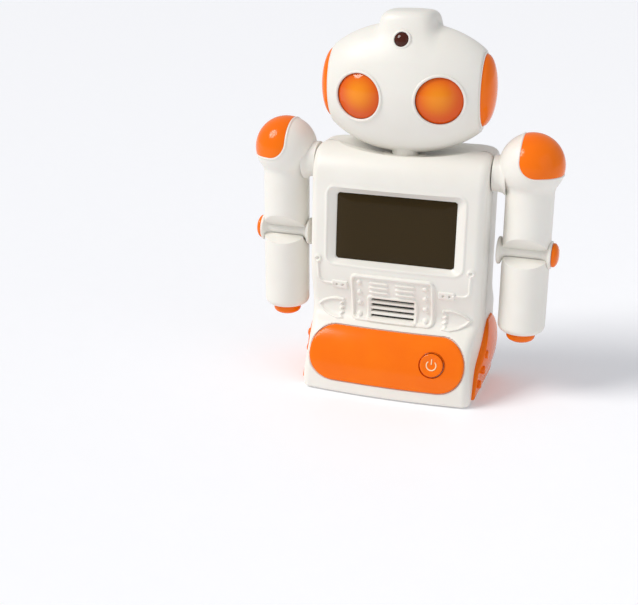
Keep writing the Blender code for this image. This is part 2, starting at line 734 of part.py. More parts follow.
def receiver(parent):
    centre = window_centre()
    axis = window_axis()
    finish(turned("receiver_window", [(0, -2.6), (WINDOW_RADIUS, -2.6), (WINDOW_RADIUS, -0.8), (0, -0.5)], centre, axis, 20),
           "maroon", parent)
    finish(cylinder("infrared_receiver", 2.6, -6.4, -2.9, centre, axis, 12), "black", parent)


# ---------------------------------------------------------------- arms

def cap_region(name, shrink):
    """The outer, upper part of the shoulder ball: right of one plane and above another, with a round corner."""
    left = ARM_X - 0.25 * SHOULDER_RADIUS + shrink
    low = SHOULDER_Z - 0.2 * SHOULDER_RADIUS + shrink
    radius = 0.5 * SHOULDER_RADIUS
    corner = [(left + radius - radius * math.cos(math.radians(t)), low + radius - radius * math.sin(math.radians(t)))
              for t in (0, 22, 45, 68, 90)]
    outline = corner + [(120, low), (120, 200), (left, 200)]
    return prism(name, outline, "y", -40, 60)


def elbow_barrel_profile(grow):
    """(radius, height) along +X: disc, flare, barrel, flare, disc."""
    inner, outer = ELBOW_INNER_X - grow, ELBOW_OUTER_X + grow
    disc = ELBOW_DISC_RADIUS + grow
    barrel = BARREL_RADIUS + grow
    return [(0, inner), (disc, inner), (disc, ELBOW_INNER_X + 1.8 + grow), (barrel + 1.2, ELBOW_INNER_X + 4.6),
            (barrel, ELBOW_INNER_X + 7.5), (barrel, ELBOW_OUTER_X - 7.5), (barrel + 1.2, ELBOW_OUTER_X - 4.6),
            (disc, ELBOW_OUTER_X - 1.8 - grow), (disc, outer), (0, outer)]


def elbow_solid(name, grow=0.0):
    return turned(name, elbow_barrel_profile(grow), (0, AXIS_Y, ELBOW_Z), (1, 0, 0), 16)


def notch_prism(name, sign, lift):
    """Keeps what is above (sign 1) or below (-1) the elbow: level behind it, sloped in front of it."""
    slope = NOTCH_UP if sign > 0 else NOTCH_DOWN
    far = 30.0
    z = ELBOW_Z + sign * lift
    outline = [(AXIS_Y + far, z), (AXIS_Y, z), (AXIS_Y - far, z + sign * far * math.tan(slope)),
               (AXIS_Y - far, z + sign * 100), (AXIS_Y + far, z + sign * 100)]
    return prism(name, outline, "x", 40, 120)


def hook_sector(name, inner, outer, half, start, end):
    """A ring sector round the elbow, from straight behind up and over, in degrees measured down from the front."""
    steps = 7
    angles = [math.radians(start + (end - start) * i / steps) for i in range(steps + 1)]
    def at(radius, a):
        return (AXIS_Y - radius * math.cos(a), ELBOW_Z - radius * math.sin(a))
    outline = [at(outer, a) for a in angles] + [at(inner, a) for a in reversed(angles)]
    return prism(name, outline, "x", ARM_X - half, ARM_X + half)


def ball_and_tube(name, inset, low, segments, steps):
    """The shoulder ball and the tube under it, in one turned piece."""
    ball = SHOULDER_RADIUS - inset
    tube = ARM_RADIUS - inset
    first = math.acos(tube / ball)
    angles = [-first + (math.pi / 2 + first) * i / steps for i in range(steps)]
    profile = [(0, low), (tube, low)]
    profile += [(ball * math.cos(a), SHOULDER_Z + ball * math.sin(a)) for a in angles] + [(0, SHOULDER_Z + ball)]
    return turned(name, profile, (ARM_X, AXIS_Y, 0), segments=segments)


def upper_arm(side_name):
    arm = keep(ball_and_tube(f"upper_arm_{side_name}", 0, 80, 24, 8), notch_prism("notch", 1, GAP))
    arm = cut(arm, ball_and_tube("hollow", WALL, 116, 14, 5), cap_region("cap", 0))
    arm = cut(arm, elbow_solid("barrel", GAP + 0.05), hook_sector("slot", 2, 8.0, 3.5, 150, 289))
    return cut(arm, cylinder("hub", HUB_RADIUS + GAP, 40, 70.3, (0, AXIS_Y, HUB_Z), (1, 0, 0), 20))


def shoulder_cap(side_name):
    outer = ellipsoid(f"shoulder_cap_{side_name}", (SHOULDER_RADIUS,) * 3, (ARM_X, AXIS_Y, SHOULDER_Z), 20, 10)
    cap = cut(outer, ellipsoid("hollow", (SHOULDER_RADIUS - 2.5,) * 3, (ARM_X, AXIS_Y, SHOULDER_Z), 12, 6))
    return keep(cap, cap_region("region", GAP))


def shoulder_hub(side_name):
    profile = [(0, 46.8), (8.5, 46.8), (8.5, 50), (6.7, 50), (6.7, HALF_WIDTH + 0.6), (HUB_RADIUS, HALF_WIDTH + 0.6),
               (HUB_RADIUS, 70), (0, 70)]
    return turned(f"shoulder_hub_{side_name}", profile, (0, AXIS_Y, HUB_Z), (1, 0, 0), 18)


def elbow_cap(side_name):
    profile = [(0, 0), (7.6, 0), (7.6, 0.8), (6.6, 2.2), (4.2, 3.4), (0, 4.0)]
    return turned(f"elbow_cap_{side_name}", profile, (ELBOW_OUTER_X + GAP, AXIS_Y, ELBOW_Z), (1, 0, 0), 16)


def forearm(side_name):
    profile = [(0, HAND_Z), (HAND_RADIUS + 0.2, HAND_Z), (12.6, 44.2), (14.4, 46), (ARM_RADIUS, 48.6),
               (ARM_RADIUS, 100), (0, 100)]
    arm = turned(f"forearm_{side_name}", profile, (ARM_X, AXIS_Y, 0), segments=24)
    arm = keep(arm, notch_prism("notch", -1, GAP))
    arm = join(arm, hook_sector("hook", BARREL_RADIUS + GAP + 0.4, 7.6, 3.1, 170, 285))
    bore = turned("bore", [(0, 40), (6.9, 40), (6.9, 48.4), (ARM_RADIUS - WALL, 49.6), (ARM_RADIUS - WALL, 82), (0, 82)],
                  (ARM_X, AXIS_Y, 0), segments=12)
    return cut(arm, bore, elbow_solid("barrel", GAP + 0.05))


def hand_cap(side_name):
    dome = [(HAND_RADIUS * math.cos(a), HAND_Z - GAP - 0.6 - (HAND_Z - GAP - 0.6 - TIP_Z) * math.sin(a))
            for a in (math.radians(t) for t in (66, 44, 22, 0))]
    profile = [(0, TIP_Z)] + dome + [(HAND_RADIUS, HAND_Z - GAP), (6.5, HAND_Z - GAP), (6.5, 48), (0, 48)]
    return turned(f"hand_cap_{side_name}", profile, (ARM_X, AXIS_Y, 0), segments=16)


def arms():
    for side_name, side in SIDES.items():
        shoulder = pivot(f"shoulder_pivot_{side_name}", (side * ARM_X, AXIS_Y, HUB_Z))
        elbow = pivot(f"elbow_pivot_{side_name}", (side * ARM_X, AXIS_Y, ELBOW_Z))
        elbow.parent = shoulder
        elbow.matrix_parent_inverse = Matrix.Translation(-shoulder.location)
        barrel = elbow_solid(f"elbow_barrel_{side_name}")
        pieces = [(upper_arm(side_name), "shell", shoulder), (shoulder_cap(side_name), "orange", shoulder),
                  (shoulder_hub(side_name), "shell", shoulder), (barrel, "shell", shoulder),
                  (elbow_cap(side_name), "orange", shoulder), (forearm(side_name), "shell", elbow),
                  (hand_cap(side_name), "orange", elbow)]
        for piece, material, parent in pieces:
            if side == RIGHT:
                mirror(piece)
            finish(piece, material, parent)


def torso():
    front_shell()
    rear_shell()
    base_panel()
    screen_parts()
    speaker()
    power_button(pivot("button_pivot", button_centre()))
    switch_parts()
    side_covers()
    power_cells()
    contacts()
    battery_door()
    screw("battery_door_screw", (0, REAR_Y - 1.1, DOOR_SCREW_Z), (0, 1, 0), 2.5, 1.0, 6.0)
    for i, (x, z) in enumerate(screw_post_places()):
        screw(f"torso_screw_{i + 1}", (x, AXIS_Y + 10.3, z), (0, 1, 0), length=14.0)
    feet()
    neck_collar()


def head():
    neck = pivot("neck_pivot", (0, AXIS_Y, COLLAR_Z[0]))
    head_front(neck)
    head_rear(neck)
    neck_post(neck)
    eyes(neck)
    ears(neck)
    receiver(neck)
    for i, (x, z) in enumerate(head_post_places()):
        screw(f"head_screw_{i + 1}", (x, HEAD_Y + 8.3, z), (0, 1, 0), 2.4, 1.0, 12.0, neck)


clear_scene()
make_materials()
torso()
head()
arms()
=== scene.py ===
"""A small humanoid learning robot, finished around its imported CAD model.

Lengths in the shape code are millimetres in the model's own frame: the robot
faces -Y, Z is up, and its left side is +X.  make() turns them into metres.
"""
import math

import bmesh
import bpy
import numpy as np
from mathutils import Matrix, Vector


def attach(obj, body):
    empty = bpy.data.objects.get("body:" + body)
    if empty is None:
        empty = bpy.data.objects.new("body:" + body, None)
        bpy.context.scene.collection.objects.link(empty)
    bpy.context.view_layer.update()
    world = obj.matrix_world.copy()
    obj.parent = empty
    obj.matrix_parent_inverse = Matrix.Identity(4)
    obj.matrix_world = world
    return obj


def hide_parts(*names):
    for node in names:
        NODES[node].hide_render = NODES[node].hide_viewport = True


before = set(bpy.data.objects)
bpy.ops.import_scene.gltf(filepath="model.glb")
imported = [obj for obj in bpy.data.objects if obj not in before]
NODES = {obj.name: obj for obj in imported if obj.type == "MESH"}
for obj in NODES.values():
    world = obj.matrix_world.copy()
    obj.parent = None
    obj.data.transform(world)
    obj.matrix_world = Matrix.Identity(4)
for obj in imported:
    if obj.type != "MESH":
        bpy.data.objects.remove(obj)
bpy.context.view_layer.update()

MM = 0.001

# ---- dimensions
AXIS_Y = 3.0
HALF_WIDTH = 56.5
FRONT_BOW = 3.4
TOP_Z = 158.0
HEAD = np.array([0.0, 6.0, 195.0])
HEAD_SEMI = np.array([60.0, 28.0, 39.5])
EAR_X = 47.4
EYE_X, EYE_Z = 25.3, 190.7
ARM_X = 80.0
BALL_R, BALL_Z = 20.2, 151.5
TUBE_R = 15.0
ELBOW_Z = 95.8
FRONT_LINE = [(0, -38.6), (12, -39), (22, -37.6), (31, -34), (38, -29.5), (43, -24.6), (46.5, -20.2),
              (50, -18), (55, -17.6), (62, -19), (70, -20.9), (78, -22.1), (86, -22.3), (132, -20.4)]
REAR_LINE = [(0, 39.9), (30, 39.9), (50, 39.9), (54.5, 38.4), (59, 35), (64, 32), (71, 30.5),
             (158, 30.5)]


CIRCLE = np.linspace(0, 2 * math.pi, 96, endpoint=False)


# ---- small maths
def along(line, t):
    """Smooth curve through the points of line, at t (arrays welcome)."""
    xs = np.array([p[0] for p in line], float)
    vs = np.array([p[1] for p in line], float)
    slopes = np.gradient(vs, xs)
    slopes[1:-1] = (vs[2:] - vs[:-2]) / (xs[2:] - xs[:-2])
    t = np.clip(t, xs[0], xs[-1])
    k = np.clip(np.searchsorted(xs, t, side="left"), 1, len(xs) - 1)
    span = xs[k] - xs[k - 1]
    s = (t - xs[k - 1]) / span
    return ((2 * s**3 - 3 * s**2 + 1) * vs[k - 1] + (s**3 - 2 * s**2 + s) * slopes[k - 1] * span
            + (3 * s**2 - 2 * s**3) * vs[k] + (s**3 - s**2) * slopes[k] * span)


def smooth(low, high, value):
    """0 below low, 1 above high, eased between."""
    t = np.clip((value - low) / (high - low), 0, 1)
    return t * t * (3 - 2 * t)


def top_inset(z, radius):
    rise = np.clip(z - (TOP_Z - radius), 0, radius)
    return radius - np.sqrt(np.maximum(radius**2 - rise**2, 0))


def dish(x, y):
    return 152.4 + (x**2 + ((y - AXIS_Y) / 0.6) ** 2) / 344.0


def rounded_box(x, z, half_x, half_z, radius):
    """Signed distance to a rounded rectangle centred on the origin."""
    qx = np.abs(x) - half_x + radius
    qz = np.abs(z) - half_z + radius
    outside = np.hypot(np.maximum(qx, 0), np.maximum(qz, 0))
    return outside + np.minimum(np.maximum(qx, qz), 0) - radius


def segment(x, z, a, b):
    """Distance from (x, z) to the segment a-b."""
    ax, az = a
    dx, dz = b[0] - ax, b[1] - az
    t = np.clip(((x - ax) * dx + (z - az) * dz) / (dx * dx + dz * dz), 0, 1)
    return np.hypot(x - ax - t * dx, z - az - t * dz)


def path_distance(x, z, points):
    return np.min([segment(x, z, a, b) for a, b in zip(points, points[1:])], axis=0)


def polygon_distance(x, z, corners):
    """Signed distance to a closed polygon, negative inside."""
    loop = list(corners) + [corners[0]]
    inside = np.zeros(np.shape(x), bool)
    for (ax, az), (bx, bz) in zip(loop, loop[1:]):
        if az == bz:
            continue
        crosses = ((az > z) != (bz > z)) & (x < (bx - ax) * (z - az) / (bz - az) + ax)
        inside ^= crosses
    reach = path_distance(x, z, loop)
    return np.where(inside, -reach, reach)


def ridge(distance, half_width, soft=0.55):
    """A rounded rib: 1 on its middle, 0 beyond half_width."""
    return 1 - smooth(half_width - soft, half_width + 0.25, distance)


# ---- materials
def shader(name, colour, roughness, **sockets):
    material = bpy.data.materials.new(name)
    material.use_nodes = True
    material.diffuse_color = (*colour, 1)
    bsdf = material.node_tree.nodes["Principled BSDF"]
    bsdf.inputs["Base Color"].default_value = (*colour, 1)
    bsdf.inputs["Roughness"].default_value = roughness
    for socket, value in sockets.items():
        bsdf.inputs[socket.replace("_", " ")].default_value = value
    return material, bsdf


def noise(tree, scale, detail=2.0, low=0.35, high=0.65, bottom=0.0, top=1.0):
    """Noise in the piece's own coordinates, mapped from bottom to top."""
    where = tree.nodes.new("ShaderNodeTexCoord")
    texture = tree.nodes.new("ShaderNodeTexNoise")
    texture.inputs["Scale"].default_value = scale
    texture.inputs["Detail"].default_value = detail
    tree.links.new(where.outputs["Object"], texture.inputs["Vector"])
    ranged = tree.nodes.new("ShaderNodeMapRange")
    for socket, value in (("From Min", low), ("From Max", high), ("To Min", bottom), ("To Max", top)):
        ranged.inputs[socket].default_value = value
    tree.links.new(texture.outputs["Fac"], ranged.inputs["Value"])
    return ranged.outputs["Result"]


def tint(tree, factor, first, second):
    mix = tree.nodes.new("ShaderNodeMix")
    mix.data_type = "RGBA"
    mix.inputs["A"].default_value = (*first, 1)
    mix.inputs["B"].default_value = (*second, 1)
    tree.links.new(factor, mix.inputs["Factor"])
    return mix.outputs["Result"]


def plastic(name, colour, other, rough=(0.3, 0.4), grain=2600, depth=0.02, wave=0.0, **sockets):
    """Moulded plastic: slight tone drift, uneven gloss, moulding texture and flow waviness."""
    material, bsdf = shader(name, colour, sum(rough) / 2, **sockets)
    tree = material.node_tree
    tree.links.new(tint(tree, noise(tree, 38, 3), colour, other), bsdf.inputs["Base Color"])
    tree.links.new(noise(tree, 90, 4, 0.3, 0.7, *rough), bsdf.inputs["Roughness"])
    fine = tree.nodes.new("ShaderNodeBump")
    fine.inputs["Strength"].default_value = depth
    fine.inputs["Distance"].default_value = 0.0002
    tree.links.new(noise(tree, grain, 2, 0, 1), fine.inputs["Height"])
    if wave:
        slow = tree.nodes.new("ShaderNodeBump")
        slow.inputs["Strength"].default_value = wave
        slow.inputs["Distance"].default_value = 0.001
        tree.links.new(noise(tree, 45, 1, 0, 1), slow.inputs["Height"])
        tree.links.new(slow.outputs["Normal"], fine.inputs["Normal"])
    tree.links.new(fine.outputs["Normal"], bsdf.inputs["Normal"])
    return material


def brushed(name, colour, other, rough):
    """Metal with fine noise in its tone and gloss."""
    material, bsdf = shader(name, colour, rough, Metallic=1.0)
    tree = material.node_tree
    tree.links.new(tint(tree, noise(tree, 700, 5), colour, other), bsdf.inputs["Base Color"])
    tree.links.new(noise(tree, 1500, 3, 0.2, 0.8, rough - 0.08, rough + 0.12), bsdf.inputs["Roughness"])
    return material


SHELL = plastic("shell_plastic", (0.85, 0.825, 0.765), (0.83, 0.80, 0.735), (0.34, 0.46), 3200, 0.05,
                Subsurface_Weight=0.05, Subsurface_Scale=0.002)
ORANGE = plastic("orange_plastic", (0.94, 0.18, 0.002), (0.91, 0.16, 0.002), (0.12, 0.2), 1500, 0.01, 0.03,
                 Coat_Weight=0.1, Coat_Roughness=0.04, Specular_IOR_Level=0.18)
BLACK = plastic("black_plastic", (0.012, 0.011, 0.010), (0.02, 0.018, 0.016), (0.4, 0.6), 3000, 0.1)
RUBBER = plastic("foot_rubber", (0.05, 0.048, 0.045), (0.07, 0.066, 0.06), (0.7, 0.9), 1800, 0.3)
BOARD = plastic("circuit_board", (0.01, 0.09, 0.03), (0.02, 0.13, 0.05), (0.3, 0.5), 900, 0.1)
CELL = plastic("cell_wrap", (0.05, 0.07, 0.11), (0.08, 0.1, 0.14), (0.25, 0.35), 600, 0.02)
SYMBOL = plastic("pad_print", (0.95, 0.80, 0.55), (0.93, 0.75, 0.48), (0.4, 0.5), 2500, 0.05)
STEEL = brushed("plated_steel", (0.62, 0.61, 0.59), (0.5, 0.49, 0.47), 0.3)
WINDOW = plastic("infrared_window", (0.055, 0.008, 0.002), (0.07, 0.012, 0.003), (0.05, 0.1), 900, 0.005,
                 Specular_IOR_Level=0.25, Coat_Weight=0.15, Coat_Roughness=0.03)


def amber_resin_painted_glow():
    """Clear orange resin with painted light: paler where the lamp lies behind it, a painted glow, and deeper
    towards the rim, painted shade.
    """
    painted_rim_shade, painted_glow_colour = (0.82, 0.10, 0.0005), (1.0, 0.30, 0.006)
    material, bsdf = shader("amber_lens", painted_glow_colour, 0.05, Transmission_Weight=0.12, IOR=1.45, Coat_Weight=0.3,
                            Coat_Roughness=0.02, Specular_IOR_Level=0.2)
    tree = material.node_tree
    where = tree.nodes.new("ShaderNodeTexCoord")
    fold = tree.nodes.new("ShaderNodeVectorMath")
    fold.operation = "ABSOLUTE"
    tree.links.new(where.outputs["Object"], fold.inputs[0])
    reach = tree.nodes.new("ShaderNodeVectorMath")
    reach.operation = "DISTANCE"
    # The colour is paler round the spot where the lamp lies behind the lens, a painted glow, and deeper
    # towards the rim, painted shade.
    reach.inputs[1].default_value = ((EYE_X - 0.5) * MM, 20.5 * MM, (EYE_Z + 2.0) * MM)
    tree.links.new(fold.outputs["Vector"], reach.inputs[0])
    painted_glow_ramp = tree.nodes.new("ShaderNodeMapRange")
    painted_glow_ramp.interpolation_type = "SMOOTHSTEP"
    for socket, value in (("From Min", 0.0015), ("From Max", 0.0150), ("To Min", 0.0), ("To Max", 1.0)):
        painted_glow_ramp.inputs[socket].default_value = value
    tree.links.new(reach.outputs["Value"], painted_glow_ramp.inputs["Value"])
    tree.links.new(tint(tree, painted_glow_ramp.outputs["Result"], painted_glow_colour, painted_rim_shade), bsdf.inputs["Base Color"])
    tree.links.new(noise(tree, 80, 2, 0.3, 0.7, 0.03, 0.07), bsdf.inputs["Roughness"])
    return material


AMBER_PAINTED_GLOW = amber_resin_painted_glow()
# The lamp's resin has a bright warm colour, partly its own tone and partly a painted glow.
LED_PAINTED_GLOW = plastic("led_resin", (0.98, 0.75, 0.35), (0.98, 0.8, 0.42), (0.1, 0.2), 800, 0.01)
REFLECTOR = plastic("reflector_plating", (0.93, 0.9, 0.84), (0.88, 0.84, 0.78), (0.2, 0.3), 1200, 0.02)


def display_glass():
    """Dark liquid crystal glass with the faint square grid of its cells."""
    material, bsdf = shader("display_glass", (0.035, 0.022, 0.006), 0.16, Coat_Weight=0.08,
                            Coat_Roughness=0.03, Specular_IOR_Level=0.12)
    tree = material.node_tree
    where = tree.nodes.new("ShaderNodeTexCoord")
    parts = tree.nodes.new("ShaderNodeSeparateXYZ")
    tree.links.new(where.outputs["Object"], parts.inputs["Vector"])
    lines = []
    for axis in ("X", "Z"):
        last = parts.outputs[axis]
        for operation, value in (("DIVIDE", 0.0011), ("FRACT", 0), ("GREATER_THAN", 0.88)):
            step = tree.nodes.new("ShaderNodeMath")
            step.operation = operation
            step.inputs[1].default_value = value
            tree.links.new(last, step.inputs[0])
            last = step.outputs["Value"]
        lines.append(last)
    either = tree.nodes.new("ShaderNodeMath")
    either.operation = "MAXIMUM"
    for k, line in enumerate(lines):
        tree.links.new(line, either.inputs[k])
    weak = tree.nodes.new("ShaderNodeMath")
    weak.operation = "MULTIPLY"
    weak.inputs[1].default_value = 0.35
    tree.links.new(either.outputs["Value"], weak.inputs[0])
    cells = tint(tree, weak.outputs["Value"], (0.034, 0.020, 0.0035), (0.018, 0.011, 0.003))
    tree.links.new(cells, bsdf.inputs["Base Color"])
    tree.links.new(noise(tree, 60, 3, 0.3, 0.7, 0.12, 0.2), bsdf.inputs["Roughness"])
    return material


DISPLAY = display_glass()


# ---- mesh helpers
def weave(rows, closed=False, start_pole=False, end_pole=False):
    """Vertices and quads of a grid of points, rows x columns x 3, in millimetres."""
    rows = np.asarray(rows, float)
    count, width = rows.shape[:2]
    grid = np.arange(count * width).reshape(count, width)
    right = np.roll(grid, -1, axis=1) if closed else grid[:, 1:]
    left = grid if closed else grid[:, :-1]
    quads = np.stack([left[:-1], right[:-1], right[1:], left[1:]], axis=-1).reshape(-1, 4)
    faces = [tuple(q) for q in quads.tolist()]
    if start_pole:
        faces.append(tuple(grid[0][::-1].tolist()))
    if end_pole:
        faces.append(tuple(grid[-1].tolist()))
    return rows.reshape(-1, 3), faces


def mesh_from(name, parts):
    """One Blender object from several (vertices, faces) parts."""
    verts, faces = [], []
    for points, polygons in parts:
        base = len(verts)
        verts += (np.asarray(points) * MM).tolist()
        faces += [tuple(base + i for i in face) for face in polygons]
    mesh = bpy.data.meshes.new(name)
    mesh.from_pydata(verts, [], faces)
    work = bmesh.new()
    work.from_mesh(mesh)
    bmesh.ops.remove_doubles(work, verts=work.verts, dist=2e-6)
    bmesh.ops.recalc_face_normals(work, faces=work.faces)
    work.to_mesh(mesh)
    work.free()
    piece = bpy.data.objects.new(name, mesh)
    bpy.context.scene.collection.objects.link(piece)
    return piece


def apply_modifiers(piece):
    depsgraph = bpy.context.evaluated_depsgraph_get()
    mesh = bpy.data.meshes.new_from_object(piece.evaluated_get(depsgraph))
    piece.modifiers.clear()
    piece.data = mesh


def carve(piece, cutter, operation="DIFFERENCE"):
    """Boolean with the EXACT solver; the cutter is used up."""
    modifier = piece.modifiers.new("carve", "BOOLEAN")
    modifier.operation = operation
    modifier.solver = "EXACT"
    modifier.object = cutter
    apply_modifiers(piece)
    bpy.data.objects.remove(cutter)
    return piece


def thicken(piece, wall):
    modifier = piece.modifiers.new("wall", "SOLIDIFY")
    modifier.thickness = wall * MM
    modifier.offset = -1
    apply_modifiers(piece)
    return piece


def soften(piece, width, segments=2, angle=35):
    modifier = piece.modifiers.new("edges", "BEVEL")
    modifier.width = width * MM
    modifier.segments = segments
    modifier.limit_method = "ANGLE"
    modifier.angle_limit = math.radians(angle)
    modifier.harden_normals = False
    apply_modifiers(piece)
    return piece


def ready(piece, body, material, slot, nodes=(), sharp=32):
    """Shade, colour and mount a finished piece."""
    mesh = piece.data
    mesh.materials.clear()
    mesh.materials.append(material)
    mesh.polygons.foreach_set("use_smooth", [True] * len(mesh.polygons))
    mesh.set_sharp_from_angle(angle=math.radians(sharp))
    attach(piece, body)
    if nodes:
        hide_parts(*nodes)
    return piece


def turned(profile, centre, axis, count=96, squash=1.0):
    """Surface of revolution: profile is (radius, height) pairs along axis; squash scales one radius."""
    axis = Vector(axis).normalized()
    side = axis.orthogonal().normalized()
    if abs(axis.x) > 0.9:
        side = Vector((0, 0, 1))
    other = axis.cross(side)
    angles = np.linspace(0, 2 * math.pi, count, endpoint=False)
    rows = []
    for radius, height in profile:
        ring = [Vector(centre) + axis * height + side * (radius * math.cos(a))
                + other * (radius * squash * math.sin(a)) for a in angles]
        rows.append([tuple(p) for p in ring])
    return weave(rows, closed=True, start_pole=profile[0][0] > 0, end_pole=profile[-1][0] > 0)


def arc(centre, radius, start, end, steps):
    """(r, h) points of an arc, angles in degrees."""
    return [(centre[0] + radius * math.cos(math.radians(a)), centre[1] + radius * math.sin(math.radians(a)))
            for a in np.linspace(start, end, steps)]


def tube(points, radius, closed=True, sides=10):
    """Round tube along a list of points."""
    points = np.asarray(points, float)
    count = len(points)
    rows = []
    normal = None
    for i in range(count):
        ahead = points[(i + 1) % count] if closed else points[min(i + 1, count - 1)]
        behind = points[i - 1] if closed else points[max(i - 1, 0)]
        tangent = Vector(ahead - behind).normalized()
        if normal is None:
            normal = tangent.orthogonal().normalized()
        normal = (normal - tangent * normal.dot(tangent)).normalized()
        other = tangent.cross(normal)
        rows.append([tuple(Vector(points[i]) + (normal * math.cos(a) + other * math.sin(a)) * radius)
                     for a in np.linspace(0, 2 * math.pi, sides, endpoint=False)])
    if closed:
        # The frame may have turned on its way round, so the last ring is matched to the first.
        first = np.array(rows[0])
        last = np.array(rows[-1])
        best = min(range(sides), key=lambda k: np.sum((np.roll(last, k, axis=0) - first) ** 2))
        for i in range(count):
            turn = int(round(best * i / (count - 1)))
            rows[i] = np.roll(np.array(rows[i]), turn, axis=0).tolist()
        rows.append(rows[0])
    return weave(rows, closed=True, start_pole=not closed, end_pole=not closed)


def prism(name, outline, axis, low, high):
    """Closed prism: outline in the plane across axis ('x' -> (y, z), 'y' -> (x, z))."""
    outline = [tuple(p) for p in outline]
    place = {"x": lambda p, t: (t, p[0], p[1]), "y": lambda p, t: (p[0], t, p[1]),
             "z": lambda p, t: (p[0], p[1], t)}[axis]
    rows = [[place(p, low) for p in outline], [place(p, high) for p in outline]]
    return mesh_from(name, [weave(rows, closed=True, start_pole=True, end_pole=True)])


def round_corners(corners, radius, steps=6):
    """Polygon with its corners rounded; radius is one number or one for each corner."""
    count = len(corners)
    radii = radius if isinstance(radius, (list, tuple)) else [radius] * count
    out = []
    for i, corner in enumerate(corners):
        here = Vector(corner)
        back = (Vector(corners[i - 1]) - here)
        ahead = (Vector(corners[(i + 1) % count]) - here)
        angle = back.angle(ahead)
        if radii[i] <= 0 or angle > math.radians(179):
            out.append(tuple(here))
            continue
        reach = min(radii[i] / math.tan(angle / 2), back.length * 0.49, ahead.length * 0.49)
        size = reach * math.tan(angle / 2)
        first = here + back.normalized() * reach
        last = here + ahead.normalized() * reach
        middle = here + (back.normalized() + ahead.normalized()).normalized() * (size / math.sin(angle / 2))
        for k in range(steps + 1):
            way = first.lerp(last, k / steps) - middle
            out.append(tuple(middle + way.normalized() * size))
    return out


# ---- torso front
WINDOW_HALF = (39.0, 21.55)
WINDOW_Z = 107.55
PANEL_HALF = (51.2, 16.5)
PANEL_Z = 25.9
PANEL_PROUD = 0.8
SIDE_TOP = 133.6
SLOT_ZS = (60.7, 56.9, 53.2, 49.6)
TORPEDO = [(32.8, 58.6), (38.5, 59.0), (43.5, 57.8), (48, 55.7), (51.4, 52.6), (48, 49.0), (43.5, 46.6),
           (38, 45.4), (32.6, 45.8), (34.4, 47.9), (32.4, 49.6), (34.6, 51.2), (32.5, 53.0), (34.6, 54.6),
           (32.6, 56.4)]


def front_y(x, z):
    return (along(FRONT_LINE, np.minimum(z, 132.0)) + top_inset(z, 22)
            + FRONT_BOW * (x / HALF_WIDTH) ** 2)


def narrowing(y, z):
    """The base draws in towards the front, so that the side covers show past its corners."""
    depth = 0.01 + 0.038 * smooth(6.0, 30.0, z)
    return 1 - depth * smooth(-2.0, -26.0, y) * (1 - smooth(43.0, 54.0, z))


def front_skin(x, z):
    """y of the finished front over (x, z), corners included."""
    side = np.abs(x) / narrowing(-30.0, z)
    flat = np.minimum(side, 50.5)
    past = np.clip(side - 50.5, 0, 5.9)
    return front_y(flat, z) + 6 - np.sqrt(36 - past**2)


def glass_y(z):
    return -18.0 + 2.8 * (z - 86.0) / 43.1


def relief(x, z):
    """How far the front stands proud of its plain surface, in millimetres."""
    side = np.abs(x)
    proud = np.zeros(np.shape(x))
    frame_d = rounded_box(x, z - 62.0, 27.6, 15.9, 4.0)
    proud += 1.45 * ridge(np.abs(frame_d + 1.0), 1.1) + 0.25 * (1 - smooth(-1.2, -0.4, frame_d))
    speaker_d = rounded_box(x, z - 55.1, 16.7, 8.4, 2.2)
    proud += 1.0 * (1 - smooth(-0.5, 0.35, speaker_d)) - 0.5 * (1 - smooth(-1.9, -1.3, speaker_d))
    for slot_z in SLOT_ZS:
        slot = rounded_box(x, z - slot_z, 14.1, 0.85, 0.4)
        proud -= 3.4 * (1 - smooth(-0.18, 0.18, slot))
    for rib_z in (72.7, 69.4, 66.1):
        proud += 1.2 * ridge(segment(side, z, (3.2, rib_z), (14.2, rib_z)), 0.85)
    for rivet_z in (72.2, 64.9, 57.3, 49.6):
        reach = np.hypot(side - 21.9, z - rivet_z)
        proud += 1.5 * np.sqrt(np.clip(1 - (reach / 1.85) ** 2, 0, 1))
    pad = np.hypot(side - 50.2, z - 85.2)
    proud += 1.0 * ridge(np.abs(pad - 1.7), 0.85) - 0.25 * (1 - smooth(0.5, 1.0, pad))
    bend = [(45.6 + 4.3 * math.sin(a), 73.3 - 4.3 * math.cos(a)) for a in np.linspace(0, math.pi / 2, 9)]
    trace = path_distance(side, z, [(40.0, 69.0)] + bend + [(50.2, 83.0)])
    proud += 1.0 * ridge(trace, 0.8)
    socket = rounded_box(side - 35.2, z - 68.8, 5.4, 2.6, 0.7)
    proud += 1.2 * (1 - smooth(-0.5, 0.2, socket))
    for hole_x in (33.2, 37.3):
        proud -= 1.3 * (1 - smooth(0.45, 0.85, np.hypot(side - hole_x, z - 68.8)))
    torpedo = polygon_distance(side, z, TORPEDO)
    proud += 0.35 * (1 - smooth(-0.4, 0.3, torpedo)) + 1.05 * ridge(np.abs(torpedo + 0.75), 0.8)
    return proud


def front_depth(x, y, z):
    """Depth of the screen recess and of the pocket under the orange panel."""
    outer = rounded_box(x, z - 108.1, 44.3, 24.8, 5.0)
    inner = rounded_box(x, z - WINDOW_Z, *WINDOW_HALF, 2.3)
    share = np.clip(-outer / np.maximum(inner - outer, 1e-6), 0, 1)
    share = np.where(outer < 0, share, 0)
    floor = np.where(inner < -0.15, 1.35, 0.0)
    recess = np.where(outer < 0, (glass_y(z) - y) * share + floor, 0)
    panel = rounded_box(x, z - PANEL_Z, PANEL_HALF[0] + 0.45, PANEL_HALF[1] + 0.45, PANEL_HALF[1] + 0.4)
    pocket = 1.6 * (1 - smooth(-0.25, 0.25, panel))
    return recess + pocket - 0.45 * ridge(np.abs(outer - 0.7), 0.9)


